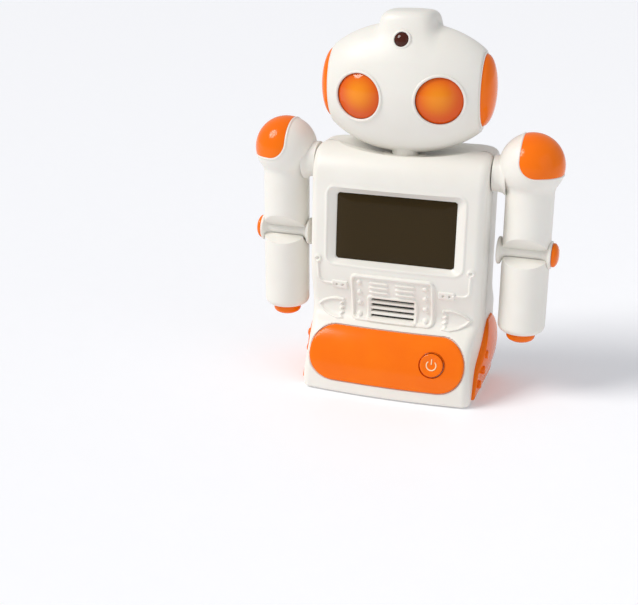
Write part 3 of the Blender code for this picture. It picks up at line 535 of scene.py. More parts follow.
def column_xs():
    """x of the front's columns in the reference width, with lines on the edges of its details."""
    marks = [0, 3.2, 14.1, 16.7, 21.9, 26.7, 27.6, 32.6, 39.0, 39.35, 44.3, 50.5]
    step = 0.42
    out = [0.0]
    for a, b in zip(marks, marks[1:]):
        count = max(1, int(round((b - a) / step)))
        out += list(np.linspace(a, b, count + 1)[1:])
    return np.array([-v for v in out[:0:-1]] + out)


def row_zs(top):
    """Heights of the side rows, from (height, spacing) pairs, with lines on the edges of details."""
    marks = [(3.0, 0.9), (7.6, 0.35), (9.2, 0.7), (42.8, 0.35), (44.6, 0.4), (79.0, 0.6), (83.3, 0.5),
             (85.6, 0.2), (86.4, 0.9), (128.6, 0.2), (129.6, 0.5), (top, 0)]
    out = []
    for (a, step), (b, _) in zip(marks, marks[1:]):
        count = max(1, int(round((b - a) / step)))
        out += list(np.linspace(a, b, count, endpoint=False))
    return np.array(out + [top])


def shell_columns(front, corner, side_points, z):
    """x, y and outward direction of every column at height z, from seam to seam."""
    half = HALF_WIDTH - top_inset(z, 6)
    xs = column_xs() * (half - corner) / 50.5 if front else np.linspace(-1, 1, 121) * (half - corner)
    sign = -1.0 if front else 1.0
    if front:
        middle = front_y(xs, z)
    else:
        middle = np.full(len(xs), float(np.minimum(along(REAR_LINE, z), 39.9) - top_inset(z, 8)))
    edge = middle[-1] - sign * corner
    angles = np.linspace(0, math.pi / 2, 13)[1:-1]
    seam = AXIS_Y if front else AXIS_Y + 0.3
    flat = np.linspace(seam, edge, side_points)
    px = [np.full(side_points, half), half - corner + corner * np.cos(angles)]
    py = [flat, edge + sign * corner * np.sin(angles)]
    nx = [np.ones(side_points), np.cos(angles)]
    ny = [np.zeros(side_points), sign * np.sin(angles)]
    px, py, nx, ny = (np.concatenate(v) for v in (px, py, nx, ny))
    x = np.concatenate([-px, xs, px[::-1]])
    y = np.concatenate([py, middle, py[::-1]])
    dx = np.concatenate([-nx, np.zeros(len(xs)), nx[::-1]])
    dy = np.concatenate([ny, np.full(len(xs), sign), ny[::-1]])
    if front:
        x = x * narrowing(y, z)
    return x, y, dx, dy


def torso_skin(front, shape):
    """Grid of the front or rear shell: bottom, walls and the dished top."""
    corner = 6.0 if front else 9.0
    seam = AXIS_Y if front else AXIS_Y + 0.3
    def level(z):
        return shell_columns(front, corner, 14, z)

    width = len(level(50.0)[0])
    low = np.full(width, 120.0)
    high = np.full(width, TOP_Z)
    for _ in range(30):
        middle = (low + high) / 2
        x, y = columns_at(level, middle)
        good = (middle < dish(x, y)) & ((y < seam) if front else (y > seam))
        low = np.where(good, middle, low)
        high = np.where(good, high, middle)
    tops = low
    rows = []
    for inset, z in ((1.2, 0.8), (0.75, 0.95), (0.35, 1.35), (0.1, 2.1)):
        x, y, dx, dy = level(3.0)
        rows.append(np.stack([x - dx * inset, y - dy * inset, np.full(width, z)], axis=1))
    bottom = rows[0]
    joined = [np.stack([bottom[:, 0], bottom[:, 1] + (seam - bottom[:, 1]) * t, bottom[:, 2]], axis=1)
              for t in (1.0, 0.66, 0.33)]
    rows = joined + rows
    for z in row_zs(SIDE_TOP):
        x, y, dx, dy = level(z)
        rows.append(shape(x, y, dx, dy, np.full(width, z)))
    for s in np.linspace(0, 1, 35)[1:]:
        zs = SIDE_TOP + (tops - SIDE_TOP) * (1 - (1 - s) ** 1.6)
        x, y = columns_at(level, zs)
        rows.append(np.stack([x, y, zs], axis=1))
    rim = rows[-1]
    for t in (0.02, 0.06, 0.12, 0.2, 0.3, 0.4, 0.5, 0.6, 0.7, 0.8, 0.9, 1.0):
        y = rim[:, 1] + (seam - rim[:, 1]) * t
        x = rim[:, 0]
        z = np.where(np.abs(rim[:, 1] - seam) < 0.05, rim[:, 2], np.minimum(dish(x, y), TOP_Z))
        rows.append(np.stack([x, y, z], axis=1))
    grid = np.array(rows)
    # The rim between wall and dish is eased over a few rows.
    edge = len(grid) - 13
    for _ in range(6):
        part = grid[edge - 5:edge + 5].copy()
        part[1:-1] = (part[:-2] + 2 * part[1:-1] + part[2:]) / 4
        grid[edge - 5:edge + 5] = part
    return grid


levels = {}


def columns_at(level, heights):
    """x and y of each column at its own height, worked out once for each hundredth of a millimetre."""
    store = levels.setdefault(level, {})
    points = []
    for k, height in enumerate(heights):
        z = round(float(height), 2)
        if z not in store:
            store[z] = level(z)
        points.append((store[z][0][k], store[z][1][k]))
    return np.array(points).T


def front_shape(x, y, dx, dy, z):
    proud = relief(x, z) * (y < -4) - front_depth(x, y, z) * (np.abs(x) < 55)
    proud = np.where((dy < -0.99) | (np.abs(x) > 46.5), proud, 0)
    return np.stack([x + dx * proud, y + dy * proud, z], axis=1)


def drop_inside(piece, test):
    """Delete the faces whose centre passes test (millimetres)."""
    work = bmesh.new()
    work.from_mesh(piece.data)
    gone = [f for f in work.faces if test(*(c / MM for c in f.calc_center_median()))]
    bmesh.ops.delete(work, geom=gone, context="FACES")
    work.to_mesh(piece.data)
    work.free()


front_shell = mesh_from("torso_front", [weave(torso_skin(True, front_shape))])
drop_inside(front_shell, lambda x, y, z: abs(x) < 37.6 and abs(z - WINDOW_Z) < 20.0 and y < -10)
ready(front_shell, "torso", SHELL, "shell", ["front_shell"], sharp=50)


# ---- torso rear
def rear_shape(x, y, dx, dy, z):
    """Battery housing, its door pocket and the screw bores."""
    block = rounded_box(x, z - 31.2, 36.0, 28.6, 3.0)
    flush = 39.9 - y
    proud = np.where(dy > 0.99, flush * (1 - smooth(-1.2, 0.4, block)), 0)
    pocket = rounded_box(x, z - 31.0, 33.6, 27.0, 1.0)
    proud = proud - np.where(dy > 0.99, 2.3 * (1 - smooth(-0.25, 0.25, pocket)), 0)
    for bore_z in (58.0, 120.0):
        reach = np.hypot(np.abs(x) - 48.5, z - bore_z)
        proud = proud - np.where(y > 20, 6.0 * (1 - smooth(2.9, 3.5, reach)), 0)
    return np.stack([x + dx * proud, y + dy * proud, z], axis=1)


rear_shell = mesh_from("torso_rear", [weave(torso_skin(False, rear_shape))])
ready(rear_shell, "torso", SHELL, "shell", ["rear_shell"], sharp=50)


# ---- screen, panel and button
def patch(outline, height, edge, rings=40, centre=None):
    """Rows that shrink the outline to its centre: height(a, b) gives the top, rolled down at the edge.

    edge is a list of (inset, drop) pairs from the foot of the wall to the top."""
    outline = np.array(outline, float)
    middle = outline.mean(axis=0) if centre is None else np.array(centre, float)
    ahead = np.roll(outline, -1, axis=0) - np.roll(outline, 1, axis=0)
    normal = np.stack([ahead[:, 1], -ahead[:, 0]], axis=1)
    normal /= np.linalg.norm(normal, axis=1)[:, None]
    flip = np.sign(np.sum(normal * (outline - middle)))
    normal *= flip
    rows = []
    for inset, drop in edge:
        p = outline - normal * inset
        rows.append(np.stack([p[:, 0], p[:, 1], height(p[:, 0], p[:, 1]) - drop], axis=1))
    last = outline - normal * edge[-1][0]
    for s in np.linspace(1, 0, rings + 1)[1:]:
        p = middle + (last - middle) * s
        rows.append(np.stack([p[:, 0], p[:, 1], height(p[:, 0], p[:, 1])], axis=1))
    return np.array(rows)


def stadium(half_x, half_z, centre_z, count=40):
    """Rounded-end outline with evenly spaced points, (x, z)."""
    straight = half_x - half_z
    points = []
    for sign in (1, -1):
        for a in np.linspace(-90, 90, count):
            points.append((sign * (straight + half_z * math.cos(math.radians(a))),
                           centre_z + sign * half_z * math.sin(math.radians(a))))
        run = np.linspace(straight, -straight, 70)[1:-1]
        points += [(sign * x, centre_z + sign * half_z) for x in run]
    return points


def slot_shade_plate():
    """A dark plate behind the speaker's slots, following the waist: painted shade that keeps the slots dark.
    """
    xs = np.linspace(-14.6, 14.6, 40)
    rows = [np.stack([xs, front_y(xs, np.full(40, z)) + 1.5, np.full(40, z)], axis=1)
            for z in np.linspace(48.2, 62.2, 30)]
    return thicken(mesh_from("slot_shade_plate", [weave(rows)]), 0.5)


# The dark plate is painted shade in the speaker's slots.
ready(slot_shade_plate(), "torso", BLACK, "black")
BUTTON = Vector((31.0, -35.3, 27.2))
BUTTON_AXIS = Vector((0, -math.cos(math.radians(15)), math.sin(math.radians(15))))


def screen_piece():
    """The display glass in its window."""
    outline = round_corners([(-38.85, 86.15), (38.85, 86.15), (38.85, 128.95), (-38.85, 128.95)], 2.2, 6)
    rows = patch(outline, lambda x, z: -glass_y(z), [(0, 1.2), (0, 0.25), (0.08, 0.08), (0.25, 0)], 3)
    points = np.stack([rows[..., 0], -rows[..., 2], rows[..., 1]], axis=-1)
    return mesh_from("display", [weave(points, closed=True, start_pole=True)])


ready(screen_piece(), "torso", DISPLAY, "screen_lens", ["screen_lens"], sharp=40)


def panel_piece():
    """The orange panel: a stadium that follows the front, with a hole for the button."""
    outline = np.array(stadium(*PANEL_HALF, PANEL_Z))
    edge = [(0.35, 2.2), (0.0, 1.5), (0.0, 0.5), (0.12, 0.25), (0.35, 0.08), (0.7, 0.0)]
    medial = PANEL_HALF[0] - PANEL_HALF[1]
    rows = []
    spine = np.stack([np.clip(outline[:, 0], -medial, medial), np.full(len(outline), PANEL_Z)], axis=1)
    for inset, drop in edge:
        p = spine + (outline - spine) * (1 - inset / PANEL_HALF[1])
        rows.append([p[:, 0], PANEL_PROUD - drop, p[:, 1]])
    for s in np.linspace(1 - edge[-1][0] / PANEL_HALF[1], 0, 26)[1:]:
        p = spine + (outline - spine) * s
        rows.append([p[:, 0], PANEL_PROUD, p[:, 1]])
    points = [np.stack([x, front_skin(x, z) - proud, z], axis=1) for x, proud, z in rows]
    piece = close_back(mesh_from("front_panel", [weave(points, closed=True)]))
    hole = mesh_from("hole", [turned([(8.35, -12), (8.35, 12)], BUTTON, BUTTON_AXIS, 64)])
    carve(piece, hole)
    return piece


def close_back(piece):
    """Cap the open foot of a patch so that the piece is a closed body."""
    work = bmesh.new()
    work.from_mesh(piece.data)
    rim = [e for e in work.edges if len(e.link_faces) == 1]
    if rim:
        result = bmesh.ops.contextual_create(work, geom=rim)
        if not result["faces"]:
            bmesh.ops.holes_fill(work, edges=rim)
        bmesh.ops.triangulate(work, faces=[f for f in work.faces if len(f.verts) > 12])
    bmesh.ops.recalc_face_normals(work, faces=work.faces)
    work.to_mesh(piece.data)
    work.free()
    return piece


ready(panel_piece(), "torso", ORANGE, "orange", ["base_panel"], sharp=35)
well = mesh_from("button_well", [turned([(0, -3.2), (8.2, -3.2), (8.2, -0.2), (8.05, -0.1), (7.95, -0.3),
                                         (7.95, -3.0), (0, -3.0)], BUTTON, BUTTON_AXIS, 64)])
ready(well, "torso", ORANGE, "orange")

cap_edge = [(7.45 - 0.7 + 0.7 * math.cos(a), 0.55 + 0.6 * math.sin(a))
            for a in np.linspace(0.25, math.pi / 2, 5)]
cap_profile = ([(0, -1.6), (7.35, -1.6), (7.45, 0.55)] + cap_edge
               + [(5.2, 1.0), (4.9, 0.85), (3.0, 0.72), (1.2, 0.66), (0, 0.65)])
button = mesh_from("power_cap", [turned(cap_profile, BUTTON, BUTTON_AXIS, 72)])
ready(button, "button", ORANGE, "orange", ["power_button"])


def power_symbol():
    """A broken ring with a bar through its gap, lying on the button."""
    side = Vector((1, 0, 0))
    up = side.cross(BUTTON_AXIS) * -1
    if up.z < 0:
        up = -up

    def on_cap(a, b):
        return tuple(BUTTON + side * a + up * b + BUTTON_AXIS * 0.78)

    ring = [on_cap(3.1 * math.sin(t), 3.1 * math.cos(t)) for t in np.linspace(0.75, 2 * math.pi - 0.75, 40)]
    bar = [on_cap(0, b) for b in np.linspace(0.6, 4.1, 6)]
    return mesh_from("power_mark", [tube(line, 0.36, closed=False, sides=8) for line in (ring, bar)])


ready(power_symbol(), "button", SYMBOL, "shell")


# ---- side covers
COVER = [(9, 46), (3.5, 42), (-4.5, 34.5), (-15, 23), (-23.5, 12.5), (-27.6, 6.6), (-28.6, 3.6), (27, 3.6),
         (30, 8), (30.5, 34), (27, 43), (22, 46)]
COVER_RADII = [5, 5, 10, 12, 12, 4, 2.2, 3.5, 3.5, 10, 4, 4]


def cover_height(y, z):
    """How far out the side cover's plate and dome reach over (y, z)."""
    rest = 1 - ((y - 14) / 46.0) ** 2 - ((z - 26) / 26.0) ** 2
    dome = 49.9 + 11.6 * np.sqrt(np.maximum(rest, 0))
    return np.maximum(dome, 58.0)


def dense(outline, step=0.8):
    """The outline with points no further than step apart."""
    points = []
    for a, b in zip(outline, outline[1:] + outline[:1]):
        count = max(1, int(math.hypot(b[0] - a[0], b[1] - a[1]) / step))
        points += [(a[0] + (b[0] - a[0]) * k / count, a[1] + (b[1] - a[1]) * k / count)
                   for k in range(count)]
    return points


def side_cover(side, name):
    outline = dense(round_corners(COVER, COVER_RADII))
    edge = [(0.3, 99), (0, 99), (0, 1.2), (0.12, 0.7), (0.45, 0.25), (0.9, 0.05), (1.4, 0)]

    rows = patch(outline, cover_height, edge, 36, centre=(4, 20))
    rows[:2, :, 2] = 53.4
    rows[2:3, :, 2] = np.maximum(rows[2:3, :, 2], 56.9)
    points = np.stack([rows[..., 2] * side, rows[..., 0], rows[..., 1]], axis=-1)
    parts = [weave(points, closed=True, start_pole=True)]
    for y, z, top in ((-5, 27, 61.6), (-9.5, 17.8, 60.9), (-15.5, 10, 59.8)):
        base = float(cover_height(np.array(y), np.array(z)))
        rise = top - base
        round_edge = [(2.75 - 0.9 + 0.9 * math.cos(a), rise - 0.9 + 0.9 * math.sin(a))
                      for a in np.linspace(0, math.pi / 2, 6)]
        stud = [(2.75, -0.8)] + round_edge + [(1.0, rise + 0.08), (0, rise + 0.1)]
        parts.append(turned(stud, (side * base, y, z), (side, 0, 0), 40))
    piece = mesh_from(name, parts)
    ready(piece, "torso", ORANGE, "orange", [name.replace("cover_", "side_cover_")], sharp=38)


side_cover(1, "cover_left")
side_cover(-1, "cover_right")

# ---- head
def blend_max(a, b, k):
    """The greater of a and b, with the corner between them eased over k."""
    h = np.clip(0.5 - 0.5 * (b - a) / k, 0, 1)
    return b * (1 - h) + a * h + k * h * (1 - h)


def head_field(p):
    """Negative inside the head: an ellipsoid and the crest, joined by a soft fillet."""
    semi = np.broadcast_to(HEAD_SEMI, p.shape).copy()
    semi[..., 2] += 1.8 * smooth(0.0, -30.0, p[..., 2] - HEAD[2])
    q = (p - HEAD) / semi
    k0 = np.linalg.norm(q, axis=-1)
    k1 = np.linalg.norm(q / semi, axis=-1)
    skull = k0 * (k0 - 1) / np.maximum(k1, 1e-6)
    x, y, z = p[..., 0], p[..., 1], p[..., 2]
    flank = (np.abs(x) - 18.9 + 0.22 * (z - 226)) * 0.98
    front = -(y + 16.5 - 0.30 * (z - 217.0) - 0.011 * x**2) * 0.957
    back = (y - 27.0 + 0.2 * (z - 217)) * 0.98
    top = (z - 241.6 + 0.0024 * x**2 + 0.0032 * (y - 5) ** 2)
    crest = blend_max(blend_max(flank, blend_max(front, back, 2.0), 7.0), top, 5.0)
    crest = blend_max(crest, 212.0 - z, 4.0)
    h = np.clip(0.5 + 0.5 * (crest - skull) / 3.4, 0, 1)
    return crest * (1 - h) + skull * h - 3.4 * h * (1 - h)


def head_point(direction, limit=75.0):
    """Where rays from the head's centre leave it."""
    low = np.full(direction.shape[:-1], 5.0)
    high = np.full(direction.shape[:-1], limit)
    for _ in range(42):
        middle = (low + high) / 2
        inside = head_field(HEAD + direction * middle[..., None]) < 0
        low = np.where(inside, middle, low)
        high = np.where(inside, high, middle)
    wide = np.abs(direction[..., 0]) * low
    reach = np.where(wide > EAR_X, EAR_X / np.maximum(np.abs(direction[..., 0]), 1e-6), low)
    return HEAD + direction * reach[..., None]


def head_half(name, front):
    """The head's front or rear shell, as rings round the axis from nose to nape."""
    sign = -1.0 if front else 1.0
    turns = np.linspace(0, 2 * math.pi, 320, endpoint=False)
    lean = np.concatenate([np.linspace(0.004, 1.45, 120), np.linspace(1.46, math.pi / 2 - 0.003, 12)])
    rows = []
    for v in lean:
        direction = np.stack([np.sin(v) * np.cos(turns), np.full(320, sign * np.cos(v)),
                              np.sin(v) * np.sin(turns)], axis=1)
        # The rays are stretched to the head's own proportions so that the columns stay even.
        direction = direction * np.array([1.25, 0.75, 1.0])
        direction /= np.linalg.norm(direction, axis=1)[:, None]
        rows.append(head_point(direction))
    rows = np.array(rows)
    rows[-1, :, 1] = HEAD[1] + sign * 0.14
    rows[-2, :, 1] = HEAD[1] + sign * 0.4
    inner = rows[-1].copy()
    inner[:, [0, 2]] = HEAD[[0, 2]] + (inner[:, [0, 2]] - HEAD[[0, 2]]) * 0.955
    return mesh_from(name, [weave(np.concatenate([rows, inner[None]]), closed=True, start_pole=True)])


def head_front_y(x, z):
    """y of the head's front skin over (x, z)."""
    x, z = np.asarray(x, float), np.asarray(z, float)
    low = np.full(x.shape, -40.0)
    high = np.full(x.shape, 6.0)
    for _ in range(36):
        middle = (low + high) / 2
        inside = head_field(np.stack([x, middle, z], axis=-1)) < 0
        low = np.where(inside, low, middle)
        high = np.where(inside, middle, high)
    return low


def eye_ring(side, radius):
    """A circle round the eye, laid on the head's skin."""
    turns = CIRCLE
    x = side * EYE_X + radius * np.cos(turns)
    z = EYE_Z + radius * np.sin(turns)
    return np.stack([x, head_front_y(x, z), z], axis=1)


EYE_STEPS = np.linspace(0.03, math.pi / 2 - 0.02, 26)
IR_CENTRE = Vector((0, -14.2, 225.5))
IR_AXIS = Vector((0, -math.cos(math.radians(18)), math.sin(math.radians(18))))

head_front = head_half("head_front", True)
for side in (-1, 1):
    barrel = turned([(14.55, 0), (14.55, 34)], (side * EYE_X, -4, EYE_Z), (0, -1, 0), 96)
    carve(head_front, mesh_from("socket", [barrel]))
carve(head_front, mesh_from("hole", [turned([(4.5, -4), (4.5, 6)], IR_CENTRE, IR_AXIS, 48)]))
ready(head_front, "head", SHELL, "shell", ["head_front_shell"], sharp=50)
head_rear = head_half("head_rear", False)
for side in (-1, 1):
    bore = turned([(3.0, -2), (3.0, 30)], (side * 40, 18, 206), (0, 1, 0), 32)
    carve(head_rear, mesh_from("bore", [bore]))
ready(head_rear, "head", SHELL, "shell", ["head_rear_shell"], sharp=50)

lip_profile = [(4.45, -0.6), (4.45, 0.45), (4.7, 0.75), (5.1, 0.8), (5.6, 0.6), (6.0, 0.1), (6.1, -0.6)]
lip = mesh_from("receiver_lip", [turned(lip_profile, IR_CENTRE, IR_AXIS, 48)])
ready(lip, "head", SHELL, "shell")
dome = [(0, -1.2), (4.3, -1.2), (4.3, 0.1)] + arc((0, -5.1), 6.75, 50, 90, 10)
ready(mesh_from("receiver_dome", [turned(dome, IR_CENTRE, IR_AXIS, 48)]), "head", WINDOW, "dark_window",
      ["receiver_window"])


def oval(side, x, share, semi_y, semi_z):
    """A ring round the ear, share of the way out to the given semi-axes."""
    return np.stack([np.full(len(CIRCLE), side * x), HEAD[1] + semi_y * share * np.cos(CIRCLE),
                     HEAD[2] + semi_z * share * np.sin(CIRCLE)], axis=1)


for side, word in ((1, "left"), (-1, "right")):
    rim = mesh_from("eye_rim_" + word, [tube(eye_ring(side, 15.1), 0.95)])
    ready(rim, "head", SHELL, "shell")
    # The black well in the eye socket gives the dark ring round the lens: painted shade.
    shade_well_rows = [eye_ring(side, 14.5) + [0, 0.4, 0], eye_ring(side, 14.5) * [1, 0, 1] + [0, -9.0, 0],
                 eye_ring(side, 12.6) * [1, 0, 1] + [0, -8.8, 0]]
    ready(mesh_from("eye_shade_well_" + word, [weave(shade_well_rows, closed=True)]), "head", BLACK, "black")
    # The lens follows the head's skin, with a low dome of its own.
    glass_rows = [eye_ring(side, 13.0) + [0, 3.0, 0]]
    edge = [(14.1, 2.6), (14.2, 1.6), (14.15, 0.9)]
    for reach, sink in edge + [(14.0 * math.cos(a), 0) for a in EYE_STEPS]:
        bulge = 2.9 * (1 - (reach / 14.2) ** 2)
        glass_rows.append(eye_ring(side, reach) + [0, 1.0 + sink - bulge, 0])
    lens = mesh_from("eye_glass_" + word, [weave(glass_rows, closed=True, start_pole=True, end_pole=True)])
    ready(lens, "head", AMBER_PAINTED_GLOW, "amber_lens", ["eye_lens_" + word])
    lip_rows = [oval(side, EAR_X + h, r, 15.8, 22.2)
                for r, h in ((1.04, -0.35), (1.05, 0.35), (1.03, 0.75), (1.0, 0.85), (0.985, 0.6))]
    ready(mesh_from("ear_lip_" + word, [weave(lip_rows, closed=True)]), "head", SHELL, "shell")
    ear_rows = [oval(side, 47.75 + 7.5 * math.sin(a), math.cos(a), 15.6, 22.0)
                for a in np.concatenate([[-0.05], np.linspace(0, math.pi / 2 - 0.01, 28)])]
    ear = mesh_from("ear_" + word, [weave(ear_rows, closed=True, start_pole=True, end_pole=True)])
    ready(ear, "head", ORANGE, "orange", ["ear_cap_" + word])

profile = [(9.3, 150.9), (14.1, 150.9), (14.2, 152.4), (14.0, 152.95), (13.4, 153.3), (12.6, 153.42),
           (9.5, 153.3), (9.3, 153.1), (9.3, 150.9)]
collar = mesh_from("collar", [turned(profile, (0, AXIS_Y, 0), (0, 0, 1))])
ready(collar, "torso", SHELL, "shell", ["neck_collar"])


# ---- arms
def ball_and_tube():
    """Profile of the upper arm from the bottom up, with a soft neck between tube and ball."""
    join = math.sqrt(BALL_R**2 - TUBE_R**2)
    points = [(0, ELBOW_Z - 12.8), (TUBE_R - 0.6, ELBOW_Z - 12.8), (TUBE_R, ELBOW_Z - 12.2)]
    points += [(TUBE_R, z) for z in np.linspace(ELBOW_Z - 8, BALL_Z - join - 2.2, 14)]
    start = math.degrees(math.atan2(-join + 1.3, TUBE_R + 0.8))
    points += [(TUBE_R + 0.25, BALL_Z - join - 0.9)]
    points += arc((0, BALL_Z), BALL_R, start, 90, 44)[:-1] + [(0, BALL_Z + BALL_R)]
    return points


def cap_outline(side, grow):
    """The outboard upper quarter of the shoulder ball, seen from the front, (x, z)."""
    inner = ARM_X - 0.25 * BALL_R - grow
    low = BALL_Z - 0.2 * BALL_R - grow
    corners = [(inner, low), (ARM_X + 40, low), (ARM_X + 40, BALL_Z + 40), (inner, BALL_Z + 40)]
    return [(side * x, z) for x, z in round_corners(corners, [0.5 * BALL_R, 0, 0, 0], 12)]


HUB_Z = 145.0
HUB = [(0, 46.9), (8.4, 46.9), (8.4, 49.9), (7.0, 50.1), (7.0, 56.6), (11.5, 57.3), (11.5, 61.0),
       (11.7, 62.5), (12.2, 63.8), (13.2, 64.9), (13.4, 66.0), (0, 66.0)]
BARREL = [(0, 62.2), (8.3, 62.2), (8.8, 62.5), (8.8, 63.7), (8.4, 64.1), (6.6, 64.9), (5.3, 66.2),
          (4.6, 68.4), (4.5, 72), (4.5, 88), (4.6, 90.0), (5.3, 92.2), (6.6, 93.5), (8.4, 94.3),
          (8.8, 94.7), (8.8, 95.9), (8.3, 96.2), (0, 96.2)]
KNOB = [(0, 96.4), (7.5, 96.4), (7.6, 97.4), (7.45, 98.0), (6.9, 98.6), (5.6, 99.5), (3.8, 100.15),
        (1.8, 100.45), (0, 100.5)]
HAND = [(0, 43.2), (8.9, 43.2), (9.2, 42.7), (9.2, 40.4), (8.9, 39.3), (8.1, 38.3), (6.6, 37.4),
        (4.5, 36.8), (2.2, 36.55), (0, 36.5)]


def shoulder_sphere(name, side, radius, steps, count):
    """A whole ball at the shoulder."""
    profile = [(0, -radius)] + arc((0, 0), radius, -88, 88, steps) + [(0, radius)]
    return mesh_from(name, [turned(profile, (side * ARM_X, AXIS_Y, BALL_Z), (0, 0, 1), count)])


def arm_pieces(side, word):
    """One whole arm; side is 1 for the left and -1 for the right."""
    centre = (side * ARM_X, AXIS_Y, 0)
    arm = mesh_from("arm_" + word, [turned(ball_and_tube(), centre, (0, 0, 1), 112)])
    around = arc((0, 0), BALL_R + 3, -90, 90, 30)
    shell_cut = mesh_from("cut", [turned(around, (side * ARM_X, AXIS_Y, BALL_Z), (0, 0, 1), 64)])
    carve(shell_cut, prism("region", cap_outline(side, 0.25), "y", -40, 60), "INTERSECT")
    carve(shell_cut, shoulder_sphere("core", side, 18.7, 50, 96))
    carve(arm, shell_cut)
    # The elbow: a level cut behind the axis, one that rises to the front.
    rise = math.tan(math.radians(40))
    notch = [(-40, ELBOW_Z - 30), (60, ELBOW_Z - 30), (60, ELBOW_Z), (AXIS_Y, ELBOW_Z),
             (AXIS_Y - 16, ELBOW_Z + 16 * rise), (-40, ELBOW_Z + 16 * rise)]
    carve(arm, prism("notch", notch, "x", side * ARM_X - 30, side * ARM_X + 30))
    soften(arm, 0.35, 2, 40)
    ready(arm, "upper_arm_" + word, SHELL, "shell", ["upper_arm_" + word], sharp=45)

    ball = shoulder_sphere("shoulder_" + word, side, BALL_R, 64, 112)
    carve(ball, prism("region", cap_outline(side, 0.0), "y", -40, 60), "INTERSECT")
    carve(ball, shoulder_sphere("core", side, 18.8, 50, 96))
    soften(ball, 0.3, 2, 50)
    ready(ball, "upper_arm_" + word, ORANGE, "orange", ["shoulder_cap_" + word], sharp=40)

    # A raised lip runs round the cap's edge on both faces of the ball.
    grown = 0.75
    lip_r = BALL_R - 0.4
    inner = ARM_X - 0.25 * BALL_R - grown
    low = BALL_Z - 0.2 * BALL_R - grown
    radius = 0.5 * BALL_R + grown
    plan = [(x, low) for x in np.linspace(ARM_X + BALL_R, inner + radius, 40)]
    plan += [(inner + radius - radius * math.sin(a), low + radius - radius * math.cos(a))
             for a in np.linspace(0, math.pi / 2, 20)[1:-1]]
    plan += [(inner, z) for z in np.linspace(low + radius, BALL_Z + BALL_R, 40)]
    front_side = []
    for x, z in plan:
        rest = lip_r ** 2 - (x - ARM_X) ** 2 - (z - BALL_Z) ** 2
        if rest > 0:
            front_side.append((side * x, math.sqrt(rest), z))
    first_x = ARM_X + math.sqrt(lip_r ** 2 - (low - BALL_Z) ** 2)
    last_z = BALL_Z + math.sqrt(lip_r ** 2 - (inner - ARM_X) ** 2)
    loop = ([(side * first_x, AXIS_Y, low)] + [(x, AXIS_Y - y, z) for x, y, z in front_side]
            + [(side * inner, AXIS_Y, last_z)] + [(x, AXIS_Y + y, z) for x, y, z in front_side[::-1]])
    lip = mesh_from("shoulder_lip_" + word, [tube(resample(loop, 150), 0.85)])
    ready(lip, "upper_arm_" + word, SHELL, "shell")

    for name, profile, height, material, slot, node in (
            ("hub_", HUB, HUB_Z, SHELL, "shell", "shoulder_hub_"),
            ("barrel_", BARREL, ELBOW_Z, SHELL, "shell", "elbow_barrel_"),
            ("knob_", KNOB, ELBOW_Z, ORANGE, "orange", "elbow_cap_")):
        piece = mesh_from(name + word, [turned(profile, (0, AXIS_Y, height), (side, 0, 0))])
        ready(piece, "upper_arm_" + word, material, slot, [node + word])

    sleeve = [(0, 43.4), (9.9, 43.4), (10.6, 43.7)] + arc((10.4, 48.2), 4.6, -75, 0, 12)
    sleeve += [(TUBE_R, z) for z in np.linspace(50, ELBOW_Z + 8, 20)] + [(0, ELBOW_Z + 8)]
    forearm = mesh_from("fore_" + word, [turned(sleeve, centre, (0, 0, 1), 112)])
    fall = math.tan(math.radians(21))
    gap = 0.7
    above = [(-40, ELBOW_Z + 40), (60, ELBOW_Z + 40), (60, ELBOW_Z - gap), (AXIS_Y, ELBOW_Z - gap),
             (-40, ELBOW_Z - gap - (40 + AXIS_Y) * fall)]
    carve(forearm, prism("above", above, "x", side * ARM_X - 30, side * ARM_X + 30))
    groove = [(8.5, 57), (9.6, 65.2), (7.6, 65.8), (5.9, 67.2), (5.2, 69), (5.2, 91), (5.9, 92.8),
              (7.6, 94.2), (9.6, 94.8), (9.6, 104)]
    carve(forearm, mesh_from("groove", [turned(groove, (0, AXIS_Y, ELBOW_Z), (side, 0, 0), 64)]))
    soften(forearm, 0.35, 2, 40)
    ready(forearm, "forearm_" + word, SHELL, "shell", ["forearm_" + word], sharp=45)
    hand = mesh_from("hand_" + word, [turned(HAND, centre, (0, 0, 1))])
    ready(hand, "forearm_" + word, ORANGE, "orange", ["hand_cap_" + word])


def resample(loop, count):
    """Evenly spaced points on a closed polyline."""
    loop = np.array(list(loop) + [loop[0]], float)
    steps = np.concatenate([[0], np.cumsum(np.linalg.norm(np.diff(loop, axis=0), axis=1))])
    at = np.linspace(0, steps[-1], count, endpoint=False)
    return np.stack([np.interp(at, steps, loop[:, k]) for k in range(3)], axis=1)


arm_pieces(1, "left")
arm_pieces(-1, "right")

# ---- carried-over nodes
# The longest start of a node's name that stands here gives its material.
OWN = {
    "eye_reflector": REFLECTOR, "eye_led": LED_PAINTED_GLOW, "lcd_module": BLACK, "torso_screw": STEEL,
    "head_screw": STEEL, "battery_door_screw": STEEL, "battery_door": SHELL, "foot": RUBBER,
    "main_board": BOARD, "head_board": BOARD, "switch_board": BOARD, "battery_contact": STEEL,
    "battery_": CELL, "speaker": BLACK, "power_switch": BLACK, "infrared_receiver": BLACK, "neck_post": SHELL,
}
for name, node in NODES.items():
    found = [k for k in sorted(OWN, key=len, reverse=True) if name.startswith(k)]
    material = OWN[found[0]] if found else SHELL
    node.data.materials.clear()
    node.data.materials.append(material)

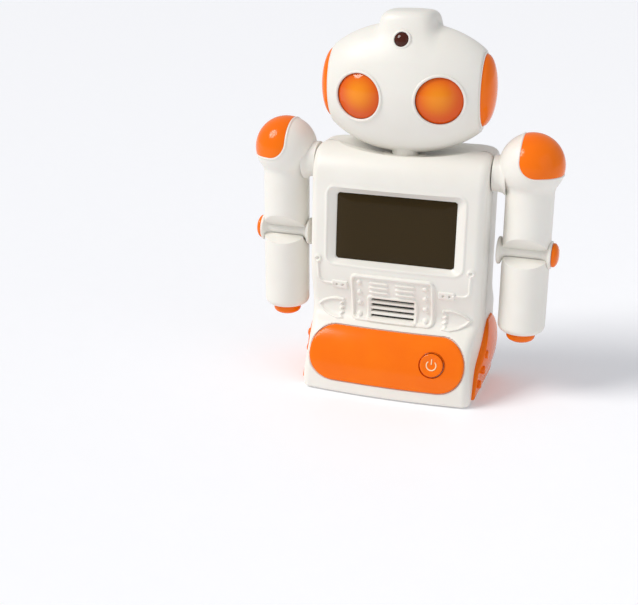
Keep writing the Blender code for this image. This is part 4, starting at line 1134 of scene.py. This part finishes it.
# ---- floor, light and camera
FLOOR = 20000
floor = mesh_from("floor", [weave([[(-FLOOR, y, 0), (FLOOR, y, 0)] for y in (-FLOOR, FLOOR)])])
floor.location.z = -0.0001
paint = plastic("floor_paint", (0.93, 0.935, 0.96), (0.925, 0.93, 0.955), (0.5, 0.6), 300, 0.0,
                Emission_Color=(0.95, 0.96, 1.0, 1), Emission_Strength=0.1)
floor.data.materials.append(paint)

world = bpy.data.worlds.new("studio")
world.use_nodes = True
world.node_tree.nodes["Background"].inputs["Color"].default_value = (0.95, 0.965, 1.0, 1)
world.node_tree.nodes["Background"].inputs["Strength"].default_value = 0.52
bpy.context.scene.world = world


def softbox(name, place, aim, size, watts, colour):
    lamp = bpy.data.lights.new(name, "AREA")
    lamp.shape = "RECTANGLE"
    lamp.size, lamp.size_y = size
    lamp.energy = watts
    lamp.color = colour
    light = bpy.data.objects.new(name, lamp)
    bpy.context.scene.collection.objects.link(light)
    light.location = place
    light.rotation_euler = (Vector(aim) - Vector(place)).to_track_quat("-Z", "Y").to_euler()


sun = bpy.data.lights.new("key", "SUN")
sun.energy = 2.0
sun.angle = math.radians(26)
sun.color = (1.0, 0.985, 0.955)
key = bpy.data.objects.new("key", sun)
bpy.context.scene.collection.objects.link(key)
key.rotation_euler = Vector((0.78, 0.5, -0.9)).to_track_quat("-Z", "Y").to_euler()
softbox("fill", (0.9, -0.5, 0.5), (0, 0, 0.1), (0.8, 0.8), 0.9, (0.96, 0.97, 1.0))

yaw, pitch, roll = (math.radians(a) for a in (-18.877, 20.0, 0.23))
forward = Vector((math.sin(yaw) * math.cos(pitch), math.cos(yaw) * math.cos(pitch), -math.sin(pitch)))
right = Vector((math.cos(yaw), -math.sin(yaw), 0))
above = right.cross(forward)
across = right * math.cos(roll) + above * math.sin(roll)
upward = above * math.cos(roll) - right * math.sin(roll)
camera = bpy.data.objects.new("camera", bpy.data.cameras.new("camera"))
bpy.context.scene.collection.objects.link(camera)
camera.matrix_world = Matrix((
    (across.x, upward.x, -forward.x, 0.177635), (across.y, upward.y, -forward.y, -0.683988),
    (across.z, upward.z, -forward.z, 0.309948), (0, 0, 0, 1)))
camera.data.sensor_fit = "HORIZONTAL"
camera.data.sensor_width = 36.0
camera.data.lens = 64.18
bpy.context.scene.camera = camera
bpy.context.scene.view_settings.view_transform = "Standard"
